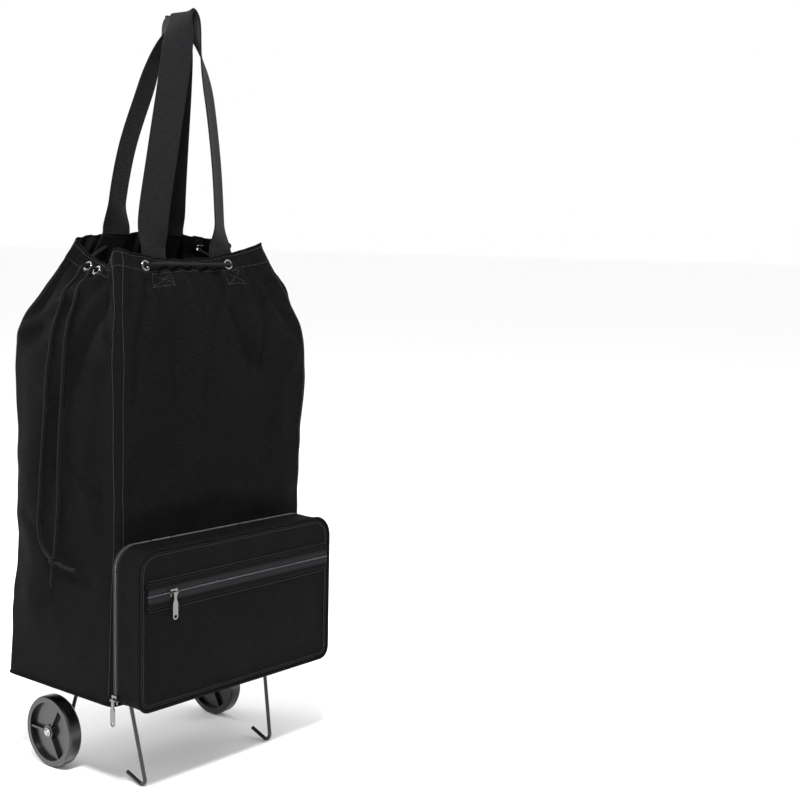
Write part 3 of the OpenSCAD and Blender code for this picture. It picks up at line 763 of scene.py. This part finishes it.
def make_bag():
    w = wall()
    points = w["points"]
    rows, cols = points.shape[:2]
    verts, faces, uv = grid(points, closed=True)
    gone = {r * cols + c for r, c in w["holes"]}
    kept = [i for i in range(len(faces)) if i not in gone]
    uv = [uv[4 * i + k] for i in kept for k in range(4)]
    obj = thickened(made_mesh("bag_shell", (verts, [faces[i] for i in kept], uv), "cloth"), lined=True)
    add_part(obj, "bag", "bag_fabric", "front_panel", "right_panel", "back_panel", "left_panel")

    # the base: cloth from the front edge to the back edge, with a bound seam round it
    n = COLUMNS[FRONT]
    bottom = points[0]
    front = bottom[:n]
    back = bottom[n + COLUMNS[RIGHT] : 2 * n + COLUMNS[RIGHT]][::-1]
    steps = np.linspace(0, 1, 34)[:, None, None]
    sheet = front[None] * (1 - steps) + back[None] * steps
    sheet[..., 2] = BASE_Z + 0.35 * noise_field(sheet, 30, 5.0) * np.sin(math.pi * steps[..., 0])
    base = thickened(made_mesh("base_cloth", grid(sheet, flip=True), "cloth"))
    add_part(base, "bag", "bag_fabric", "base_panel")
    add_part(made_mesh("base_binding", tube(bottom, 1.5, closed=True), "cloth"), "bag", "bag_fabric")

    # the rolled hem and its stitching, the doubled seams up the corners
    roll = tube(wall_row(TOP, -0.4), 1.3, sides=10, closed=True)
    add_part(made_mesh("hem_roll", roll, "cloth"), "bag", "bag_fabric")
    hem = wall_row(HEM_T + 0.02, 0.35)
    top = wall_row(5.93, 0.35)
    total = sum(COLUMNS.values())
    seams = []
    edge = 0
    for side, count in COLUMNS.items():
        for column in ((edge + 1) % total, (edge - 2) % total):
            # the pouch covers the foot of the seam at the front left
            low = 1.9 if side == FRONT and column == edge + 1 else 0.25
            seams.append(wall_column(column, low, 5.9, 0.35))
        edge += count
    lines = [np.concatenate([hem, hem[:1]]), np.concatenate([top, top[:1]])] + seams
    stitches("bag_stitches", lines, "bag", "bag_fabric")


def bake(obj):
    """Makes an object's modifiers part of its mesh."""
    mesh = evaluated_mesh(obj)
    mesh.name = obj.name
    old = obj.data
    obj.modifiers.clear()
    obj.data = mesh
    bpy.data.meshes.remove(old)
    return obj


def thickened(obj, lined=False):
    """Gives a sheet the cloth's thickness: inwards with the lining's finish inside, or to both sides."""
    solid = obj.modifiers.new("Cloth", "SOLIDIFY")
    solid.thickness = settings("trolley_fabric").thickness
    solid.offset = -1 if lined else 0
    if lined:
        obj.data.materials.append(MATERIALS["lining"])
        solid.material_offset = 1
        solid.material_offset_rim = 0
    return bake(obj)


def lathe(at, along, profile, sides=28):
    """A turned ring in mm from (radius, height) pairs, closed, about a direction at a point."""
    along = np.asarray(along, float)
    beside = unit(np.cross((0, 0, 1), along))
    other = np.cross(along, beside)
    angle = np.linspace(0, 2 * math.pi, sides, endpoint=False)
    rings = np.array([[at + r * (math.cos(a) * beside + math.sin(a) * other) + h * along for a in angle]
                      for r, h in profile + profile[:1]])
    return grid(rings, closed=True)


def make_eyelets():
    """Rolled grommets: a domed flange outside, a barrel, and a flat washer inside."""
    arc = [(5.55 + 1.55 * math.cos(a), 0.55 + 1.0 * math.sin(a)) for a in np.linspace(0, math.pi, 9)]
    profile = arc + [(4.0, 0.0), (4.05, -1.9), (4.3, -2.3), (7.0, -2.3), (7.0, -1.7), (4.8, -1.6), (4.8, 0.3)]
    parts = [lathe(band_point(*spot), band_normal(*spot), profile) for spot in EYELETS]
    add_part(made_mesh("grommets", joined(parts), "nickel"), "bag", "nickel", "eyelets")


def strip(path, beside, section):
    """A closed section drawn along a path; it lists distances beside the path and off its face, in mm."""
    path = np.asarray(path, float)
    along = unit(np.gradient(path, axis=0))
    side = np.broadcast_to(beside, path.shape).astype(float)
    side = unit(side - along * np.sum(side * along, axis=1, keepdims=True))
    face = np.cross(side, along)
    rings = np.stack([path + side * a + face * b for a, b in section], axis=1)
    verts, faces, uv = grid(rings, closed=True, flip=True)
    m = len(section)
    last = (len(path) - 1) * m
    faces += [list(range(m)), [last + i for i in range(m)][::-1]]
    uv += [(0.0, 0.0)] * (2 * m)
    return verts, faces, uv


def ribbon(path, widths, rib):
    """Handle webbing along a path in mm, its width along the given directions, with ribs across it."""
    web = settings("trolley_webbing")
    width, thick = web.width / MM, web.thickness / MM
    swell = (0.17 * np.abs(np.sin(math.pi * travelled(path) / rib)))[:, None]
    section = []
    for face in (1, -1):
        for k in (-1, -0.97, -0.8, -0.5, -0.2, 0.2, 0.5, 0.8, 0.97, 1):
            # the selvedges are thinner
            half = thick / 2 * 0.55 + swell * 0.3 if abs(k) == 1 else thick / 2 + swell
            section.append((face * k * width / 2, face * half))
    return strip(path, widths, section)


def bar(points, wide, thick, beside):
    """A soft-edged strip in mm along a line; beside is the direction of its width."""
    shape = ((-1, -0.4), (-0.93, -1), (0.93, -1), (1, -0.4), (1, 0.4), (0.93, 1), (-0.93, 1), (-1, 0.4))
    return strip(points, beside, [(a * wide / 2, b * thick / 2) for a, b in shape])


FRONT_FEET = np.array([(-79, -79, 671), (36, -73.5, 671)], float)
BACK_FEET = np.array([(-58, 18, 694), (20, 4, 694)], float)
FRONT_STRAP = [
    (-79, -79, 671), (-77, -77, 710), (-61, -73, 780), (-39, -65, 860), (-20, -55, 920), (-9, -46, 952),
    (2, -41, 966), (11, -46, 954), (18, -54, 920), (26, -63, 860), (33, -69, 780), (36, -72, 710),
    (36, -73.5, 671),
]
BACK_STRAP = [
    (-58, 18, 694), (-55, 18, 735), (-40, 17, 800), (-16, 12, 870), (4, 7, 928), (15, 3, 956), (24, 1, 968),
    (32, 3, 956), (35, 6, 928), (34, 8, 870), (28, 7, 800), (22, 5, 735), (20, 4, 694),
]
# Sewn ends: side, place along it, top on the band, and which handle and foot it leads to
TABS = [
    (FRONT, 0.27, 1.165, FRONT_FEET[0]), (FRONT, 0.72, 1.065, FRONT_FEET[1]),
    (BACK, 0.43, 1.045, BACK_FEET[1]), (BACK, 0.772, 1.06, BACK_FEET[0]),
]


def handle(name, route, feet, node, way):
    """One loop of webbing between its two feet; way is the sense of its twist."""
    rib = settings("trolley_webbing").rib / MM
    rough = smooth_curve(route, 24)
    path = evenly(rough, rib / 4)
    # the strap turns a quarter of the way round up each leg, so that its top is front to back
    line = feet[1] - feet[0]
    turn = math.degrees(math.atan2(line[1], line[0]))
    gone = travelled(rough)
    s = np.interp(np.linspace(0, gone[-1], len(path)), gone, np.linspace(0, 2, len(rough)))
    near = np.where(s <= 1, s, 2 - s)
    quarter = 28 * smoothstep(near, 0, 0.15) + 62 * smoothstep(near, 0.5, 0.92)
    angle = np.radians(turn + way * np.where(s <= 1, quarter, 180 - quarter))
    widths = np.stack([np.cos(angle), np.sin(angle), 0 * angle], axis=1)
    # both ends run on below the hinge, down to where they are sewn
    more = 12
    below = np.array([[0, 0, -k * rib / 4] for k in range(more, 0, -1)])
    path = np.concatenate([path[0] + below, path, path[-1] + below[::-1]])
    widths = np.concatenate([np.repeat(widths[:1], more, 0), widths, np.repeat(widths[-1:], more, 0)])
    obj = made_mesh(name, ribbon(path, widths, rib), "webbing")
    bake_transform(obj)
    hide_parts(node)


def make_handles():
    handle("front_handle_webbing", FRONT_STRAP, FRONT_FEET, "front_handle_strap", -1)
    handle("back_handle_webbing", BACK_STRAP, BACK_FEET, "back_handle_strap", 1)
    web = settings("trolley_webbing")
    rib = web.rib / MM
    parts, seams = [], []
    for side, u, top, foot in TABS:
        low, high = band_point(side, u, 0.34), band_point(side, u, 1.0)
        inward = -band_normal(side, u, 0.6)
        lower = np.linspace(low + inward * 6.2, high + inward * 5.2, 14)
        lift = np.linspace(lower[-1], foot - [0, 0, 0.4], 8)[1:]
        path = evenly(np.concatenate([lower, lift]), rib / 4)
        across = band_point(side, u + 0.05, 0.5) - band_point(side, u - 0.05, 0.5)
        across[2] = 0
        across = unit(across)
        parts.append(ribbon(path, across, rib))
        # the box and cross of thread that shows on the outside of the cloth
        half = 0.42 * web.width / MM * across
        a, b = band_point(side, u, 0.30), band_point(side, u, 0.62)
        box = [a - half, a + half, b + half, b - half, a - half]
        for line in (box, [a - half, b + half], [a + half, b - half]):
            seams.append(on_wall(evenly(np.array(line), 2.0), 0.3))
    add_part(made_mesh("sewn_handle_ends", joined(parts), "webbing"), "bag", "webbing", "handle_tabs")
    stitches("handle_stitches", seams, "bag", "webbing")


def lay_off(path, off_left):
    """A cord's route moved off the folded wall where it would sink into it."""
    w = wall()
    flat, normals = w["points"].reshape(-1, 3), w["normals"].reshape(-1, 3)
    out = path.copy()
    for i, p in enumerate(path):
        k = int(np.argmin(np.linalg.norm(flat - p, axis=1)))
        height = (p - flat[k]) @ normals[k]
        if abs(height) < off_left * 3 and height < off_left:
            out[i] = p + normals[k] * (off_left - height)
    for _ in range(3):
        out[1:-1] = 0.25 * out[:-2] + 0.5 * out[1:-1] + 0.25 * out[2:]
    return out


def cord_mesh(name, path, beside):
    return made_mesh(name, tube(path, CORD_D / 2, beside, 12, **LAY), "cord")


def make_drawstring():
    rim = cord_mesh("drawstring_run", evenly(smooth_curve(RIM_ROUTE, 10), 1.8), (0, 0, 1))
    add_part(rim, "bag", "cord", "drawstring_rim")
    knot = make_knot()
    for name, route, node, pieces in (
        ("front_cord", FRONT_STRAND, "drawstring_front_strand", [knot]),
        ("rear_cord", REAR_STRAND, "drawstring_rear_strand", []),
    ):
        path = evenly(smooth_curve(route, 16), 2.2)
        path = lay_off(path, CORD_D / 2 + 0.3)
        obj = cord_mesh(name, path, (0, 1, 0))
        add_part(obj, "bag", "cord", node)


def make_knot():
    """The overhand knot that joins the two strands, with its two cut tails."""
    turn = np.linspace(0, 2 * math.pi, 97)
    loop = np.stack([
        1.7 * (np.cos(turn) + 1.15 * np.cos(2 * turn)) * 1.35,
        1.7 * (np.sin(turn) - 1.15 * np.sin(2 * turn)) * 1.35,
        -2.2 * np.sin(3 * turn),
    ], axis=1)[:, [2, 0, 1]] + KNOT_AT
    parts = [tube(loop[:-1], CORD_D / 2 * 0.92, (1, 0.2, 0.1), 10, closed=True)]
    for end in TAIL_ENDS:
        start, end = np.array(KNOT_AT, float), np.array(end, float)
        sag = np.array([-1.0, 0, -2.2])
        line = [start, start + (end - start) * 0.4 + sag * 0.4, start + (end - start) * 0.75 + sag * 0.6, end]
        parts.append(tube(evenly(smooth_curve(line, 8), 1.6), CORD_D / 2 * 0.95, (1, 0.1, 0.2), 10, **LAY))
    return add_part(made_mesh("cord_knot", joined(parts), "cord"), "bag", "cord", "drawstring_knot")


# ---------------------------------------------------------------- the pouch

# Width, height and foot of the pouch, the radii of its upper and lower corners, its depths and the height
# of the zip across its front, in mm
POUCH_W, POUCH_H, POUCH_BASE = 328.0, 196.0, 120.0
TOP_R, LOW_R = 28.0, 15.0
POUCH_BACK, POUCH_FRONT, GUSSET_BACK, COVER_BACK = -105.0, -153.0, -115.3, -110.3
ZIP_Z = 260.0
OUTLINE_POINTS = 336
FRONT_COLUMNS = 124


def pouch_outline(inset):
    """The pouch's outline seen from the front, set in by some mm, as a closed line of (x, z)."""
    pts = []
    half = POUCH_W / 2
    high, low = POUCH_BASE + POUCH_H, POUCH_BASE
    for x, z, r, start in ((half - TOP_R, high - TOP_R, TOP_R, 0), (-half + TOP_R, high - TOP_R, TOP_R, 90),
                           (-half + LOW_R, low + LOW_R, LOW_R, 180), (half - LOW_R, low + LOW_R, LOW_R, 270)):
        for a in np.radians(np.linspace(start, start + 90, 13)):
            pts.append((x + (r - inset) * math.cos(a), z + (r - inset) * math.sin(a)))
    ring = np.array(pts + pts[:1])
    s = travelled(ring)
    t = np.linspace(0, s[-1], OUTLINE_POINTS, endpoint=False)
    return np.stack([np.interp(t, s, ring[:, k]) for k in (0, 1)], axis=1)


def at_depth(outline, y):
    return np.stack([outline[:, 0], np.broadcast_to(y, len(outline)), outline[:, 1]], axis=1)


def puffed(points):
    """Points on the flat front, in mm, stuffed out and rumpled, with a dip along the zip."""
    x, z = points[..., 0], points[..., 2]
    edge = np.minimum(np.minimum(POUCH_W / 2 - abs(x), z - POUCH_BASE), POUCH_BASE + POUCH_H - z)
    lower = np.exp(-(((z - 185) / 58) ** 2)) * (0.75 + 0.25 * np.cos(x / 62))
    upper = 0.5 * np.exp(-(((z - 293) / 16) ** 2))
    stuffed = smoothstep(edge, 0, 40) * smoothstep(abs(z - ZIP_Z), 10, 30) * (7.0 * lower + 3.5 * upper)
    off_zip = smoothstep(abs(z - ZIP_Z), 11, 26)
    rumple = 1.5 * noise_field(points, 44, 31.0) + 0.6 * noise_field(points, 17, 43.0)
    rumple = rumple * smoothstep(edge, 2, 26)
    pull = 1.6 * np.sin(x / 13.0 + 0.06 * z) * smoothstep(edge, 3, 14) * (1 - smoothstep(edge, 16, 52))
    out = points.copy()
    out[..., 1] -= stuffed + off_zip * (rumple * 0.8 + pull * 0.5)
    return out


def front_grid(inset):
    """The flat front as rows of points across the rounded outline."""
    low, high = POUCH_BASE + inset, POUCH_BASE + POUCH_H - inset
    # rows crowd together in the rounded corners
    turn = np.linspace(0, 1, 74)
    heights = low + (high - low) * (0.85 * turn + 0.15 * (1 - np.cos(math.pi * turn)) / 2)
    rows = []
    for z in heights:
        half = POUCH_W / 2 - inset
        lower, upper = LOW_R - inset, TOP_R - inset
        for radius, end in ((lower, low + lower - z), (upper, z - (high - upper))):
            if end > 0:
                half = POUCH_W / 2 - inset - radius + math.sqrt(max(radius**2 - end**2, 0.0))
        rows.append([(x, POUCH_FRONT, z) for x in np.linspace(-half, half, FRONT_COLUMNS)])
    return np.array(rows)


def make_pouch():
    fold = settings("trolley_fabric").fold_depth
    outline = pouch_outline(0.0)
    # the gusset, from its zip to the front seam, bellied and rumpled between the two
    rings = []
    seam = POUCH_FRONT + 1.2
    for y in np.linspace(GUSSET_BACK, seam, 15):
        f = (y - GUSSET_BACK) / (seam - GUSSET_BACK)
        ring = at_depth(outline, y)
        out = unit(ring - np.array([0, y, POUCH_BASE + POUCH_H / 2]))
        wave = 1.6 * np.array([noise.noise(Vector((p[0] / 26, y / 20, p[2] / 26))) for p in ring])
        rings.append(ring + out * ((wave - 0.9) * math.sin(math.pi * f) * fold)[:, None])
    for inset, y in ((0.5, POUCH_FRONT + 0.35), (1.6, POUCH_FRONT)):
        rings.append(at_depth(pouch_outline(inset), y))
    gusset = grid(np.array(rings), closed=True)
    front = grid(puffed(front_grid(1.2)))
    cover = thickened(made_mesh("pouch_cover_shell", joined([gusset, front]), "cloth"), lined=True)
    add_part(cover, "pouch_cover", "bag_fabric", "pouch_front_panel", "pouch_gusset")

    # corded edge between gusset and front, and the floor of the gusset back to the hinge
    piping = settings("trolley_fabric").piping / MM
    cording = tube(at_depth(pouch_outline(0.6), POUCH_FRONT - 0.6), piping, (0, 1, 0.01), 10, closed=True)
    add_part(made_mesh("pouch_piping", cording, "cloth"), "pouch_cover", "bag_fabric")
    xs = np.linspace(-POUCH_W / 2 + LOW_R, POUCH_W / 2 - LOW_R, 60)
    floor = np.array([[(x, y, POUCH_BASE + 0.7) for x in xs] for y in np.linspace(GUSSET_BACK, -105.4, 5)])
    floor[..., 2] += 0.25 * noise_field(floor, 18, 9.0)
    add_part(thickened(made_mesh("pouch_floor", grid(floor), "cloth")), "pouch_cover", "bag_fabric")

    # two rows of sewing inside the edge, and two along each side of the zip
    lines = []
    for inset in (4.6, 7.4):
        row = puffed(at_depth(pouch_outline(inset), POUCH_FRONT)) - [0, 0.25, 0]
        lines.append(np.concatenate([row, row[:1]]))
    for off in (-15.5, 15.5, -18.5, 18.5):
        line = np.array([(x, POUCH_FRONT, ZIP_Z + off) for x in np.arange(-149, 159.5, 2.0)])
        lines.append(puffed(line) - [0, 0.5, 0])
    stitches("pouch_stitches", lines, "pouch_cover", "bag_fabric")
    make_front_zip()
    make_pouch_zip()


def make_front_zip():
    """Two tapes with a coil between them across the front, and a folded welt over each tape."""
    x0, x1 = -150.0, 160.0
    xs = np.arange(x0, x1 + 1, 2.5)
    tapes, welts = [], []
    for side in (-1, 1):
        line = [(x, POUCH_FRONT - 0.75, ZIP_Z + side * 7.0) for x in xs]
        tapes.append(bar(line, 11.4, 0.7, (0, 0, 1)))
        line = [(x, POUCH_FRONT - 1.5, ZIP_Z + side * 12.3) for x in np.arange(x0 - 5, x1 + 3, 3.0)]
        welts.append(bar(line, 5.6, 2.0, (0, 0, 1)))
    obj = made_mesh("front_zip_tapes", joined(tapes), "tape")
    add_part(obj, "pouch_cover", "zip_tape", "front_zip_tape")
    teeth("front_zip_coil", [np.array([(x, POUCH_FRONT - 0.9, ZIP_Z) for x in xs])], "pouch_cover", 0.0011)
    add_part(made_mesh("front_zip_welts", joined(welts), "cloth"), "pouch_cover", "bag_fabric")


def open_line(inset, y):
    """The outline from low on the right, over the top, to low on the left; it is open along the hinge."""
    ring = pouch_outline(inset)
    low = [i for i, spot in enumerate(pouch_outline(0.0)) if spot[1] < POUCH_BASE + 4]
    first, last = low[0], low[-1]
    order = list(range(last + 1, len(ring))) + list(range(0, first))
    return np.array([(ring[i][0], y, ring[i][1]) for i in order])


def make_pouch_zip():
    """Two halves of a coil zip round the pouch: one sewn to the bag, one to the cover."""
    for name, body, back, front, node, edge in (
        ("bag_zip_tape", "bag", POUCH_BACK, -110.0, "pouch_zip_tape_bag", -109.55),
        ("cover_zip_tape", "pouch_cover", COVER_BACK, GUSSET_BACK, "pouch_zip_tape_cover", -110.75),
    ):
        middle = (back + front) / 2
        parts = [bar(open_line(1.1, middle), abs(front - back), 0.8, (0, 1, 0))]
        if body == "bag":
            # the tape turns in under the cover and lies flat on the front, where it is sewn down
            flange = open_line(6.2, POUCH_BACK - 0.7)
            inwards = np.cross(np.gradient(flange, axis=0), (0.0, 1.0, 0.0))
            parts.append(bar(flange, 10.4, 0.8, inwards))
        add_part(made_mesh(name, joined(parts), "tape"), body, "zip_tape", node)
        teeth(name.replace("tape", "coil"), [open_line(0.35, edge)], body, 0.0009)
    stitches("zip_flange_stitches", [open_line(9.0, POUCH_BACK - 1.3)], "bag", "zip_tape")


# ---------------------------------------------------------------- finishes of the CAD pieces that stay


def finish_hardware():
    """Gives the CAD pieces that stay their finishes, and the metal and the wheels their worn edges."""
    kept = {
        "board": ["base_board"],
        "zinc": ["left_wire_clips", "right_wire_clips", "clip_rivets", "left_washer", "right_washer",
                 "left_push_nut", "right_push_nut"],
        "wire": ["left_side_wire", "right_side_wire"],
        "wheel": ["left_wheel", "right_wheel"],
        "nickel": ["front_slider", "front_puller", "pouch_slider", "pouch_puller"],
    }
    bevels = {"zinc": 0.0002, "nickel": 0.0002, "wheel": 0.0006}
    for material, name in ((m, name) for m, names in kept.items() for name in names):
        obj = NODES[name]
        obj.data.materials.clear()
        obj.data.materials.append(MATERIALS[material])
        if material in bevels:
            bevel = obj.modifiers.new("Worn edges", "BEVEL")
            bevel.width = bevels[material]
            bevel.segments = 2
            bevel.limit_method = "ANGLE"
            bevel.angle_limit = math.radians(40)


# ---------------------------------------------------------------- stage


def make_stage():
    scene = bpy.context.scene
    scene.view_settings.view_transform = "Standard"
    scene.view_settings.look = "None"
    world = bpy.data.worlds.new("Studio")
    scene.world = world
    world.use_nodes = True
    sky = world.node_tree.nodes["Background"]
    sky.inputs["Color"].default_value = linear("#ffffff")
    sky.inputs["Strength"].default_value = 1.0

    data = bpy.data.cameras.new("Camera")
    camera = new_object("Camera", data)
    scene.camera = camera
    data.sensor_width = 36.0
    data.lens = 62.377
    data.clip_start = 0.05
    yaw, pitch, roll = (math.radians(a) for a in (50.350, 6.503, 1.184))
    ahead = Vector((math.sin(yaw) * math.cos(pitch), math.cos(yaw) * math.cos(pitch), -math.sin(pitch)))
    level = Vector((math.cos(yaw), -math.sin(yaw), 0))
    over = level.cross(ahead)
    right = level * math.cos(roll) + over * math.sin(roll)
    up = over * math.cos(roll) - level * math.sin(roll)
    camera.matrix_world = Matrix((
        (right.x, up.x, -ahead.x, -1.1961),
        (right.y, up.y, -ahead.y, -1.3792),
        (right.z, up.z, -ahead.z, 0.6843),
        (0, 0, 0, 1),
    ))

    floor = bpy.data.meshes.new("floor")
    size = 60.0
    corners = [(-size, -size, 0), (size, -size, 0), (size, size, 0), (-size, size, 0)]
    floor.from_pydata(corners, [], [(0, 1, 2, 3)])
    ground = new_object("floor", floor)
    # Matt painted floor
    material, tree = new_material("pale_floor")
    surface(tree, {"Base Color": linear("#fafafa"), "Roughness": 0.7})
    floor.materials.append(material)

    # a high key over the front left corner, a faint fill from the right and a light behind for the edges
    aim = Vector((0, 0, 0.45))
    for name, place, size, power in (
        ("Key", (-1.0, -1.05, 2.35), 0.5, 150),
        ("Fill", (1.7, -1.6, 1.6), 1.0, 10),
        ("Rim", (-0.6, 2.0, 1.8), 1.2, 26),
    ):
        light = bpy.data.lights.new(name, "AREA")
        light.shape = "DISK"
        light.size = size
        light.energy = power
        lamp = new_object(name, light)
        lamp.location = place
        lamp.rotation_euler = (aim - Vector(place)).to_track_quat("-Z", "Y").to_euler()


# ---------------------------------------------------------------- operators and panel


class Step:
    """What the operators share: each runs its own function, and an error there stops the script."""

    bl_options = {"REGISTER", "UNDO"}

    def execute(self, context):
        self.make()
        return {"FINISHED"}


class TROLLEY_OT_materials(Step, bpy.types.Operator):
    """Makes every finish of the trolley"""

    bl_idname = "trolley.materials"
    bl_label = "Finishes"
    make = staticmethod(make_materials)


class TROLLEY_OT_stage(Step, bpy.types.Operator):
    """Sets the camera, floor and lights"""

    bl_idname = "trolley.stage"
    bl_label = "Stage"
    make = staticmethod(make_stage)


class TROLLEY_OT_drawstring(Step, bpy.types.Operator):
    """Makes the cord, its knot and its two free ends"""

    bl_idname = "trolley.drawstring"
    bl_label = "Drawstring"
    make = staticmethod(make_drawstring)


class TROLLEY_OT_bag(Step, bpy.types.Operator):
    """Makes the folded wall, base, hem and seams"""

    bl_idname = "trolley.bag"
    bl_label = "Bag"
    make = staticmethod(make_bag)


class TROLLEY_OT_eyelets(Step, bpy.types.Operator):
    """Makes the eight rolled grommets"""

    bl_idname = "trolley.eyelets"
    bl_label = "Eyelets"
    make = staticmethod(make_eyelets)


class TROLLEY_OT_handles(Step, bpy.types.Operator):
    """Makes the webbing handles and their sewn ends"""

    bl_idname = "trolley.handles"
    bl_label = "Handles"
    make = staticmethod(make_handles)


class TROLLEY_OT_pouch(Step, bpy.types.Operator):
    """Makes the pouch with its zips and piping"""

    bl_idname = "trolley.pouch"
    bl_label = "Pouch"
    make = staticmethod(make_pouch)


class TROLLEY_OT_hardware(Step, bpy.types.Operator):
    """Finishes the wires, wheels, clips and zip pulls"""

    bl_idname = "trolley.hardware"
    bl_label = "Hardware"
    make = staticmethod(finish_hardware)


STEPS = [
    TROLLEY_OT_materials, TROLLEY_OT_stage, TROLLEY_OT_drawstring, TROLLEY_OT_bag, TROLLEY_OT_eyelets,
    TROLLEY_OT_handles, TROLLEY_OT_pouch, TROLLEY_OT_hardware,
]


class TROLLEY_PT_panel(bpy.types.Panel):
    """Sizes of the trolley and the steps that make it"""

    bl_label = "Shopping trolley"
    bl_idname = "TROLLEY_PT_panel"
    bl_space_type = "VIEW_3D"
    bl_region_type = "UI"
    bl_category = "Trolley"

    def draw(self, context):
        for name, group in GROUPS.items():
            box = self.layout.box()
            for key in group.__annotations__:
                box.prop(getattr(context.scene, name), key)
        for step in STEPS:
            self.layout.operator(step.bl_idname)


CLASSES = [*GROUPS.values(), *STEPS, TROLLEY_PT_panel]


def register():
    for item in CLASSES:
        bpy.utils.register_class(item)
    for name, group in GROUPS.items():
        setattr(bpy.types.Scene, name, bpy.props.PointerProperty(type=group))


def unregister():
    for name in GROUPS:
        delattr(bpy.types.Scene, name)
    for item in reversed(CLASSES):
        bpy.utils.unregister_class(item)


def main():
    register()
    for step in STEPS:
        getattr(bpy.ops.trolley, step.bl_idname.split(".")[1])()
    bpy.context.view_layer.update()


if __name__ == "__main__":
    main()
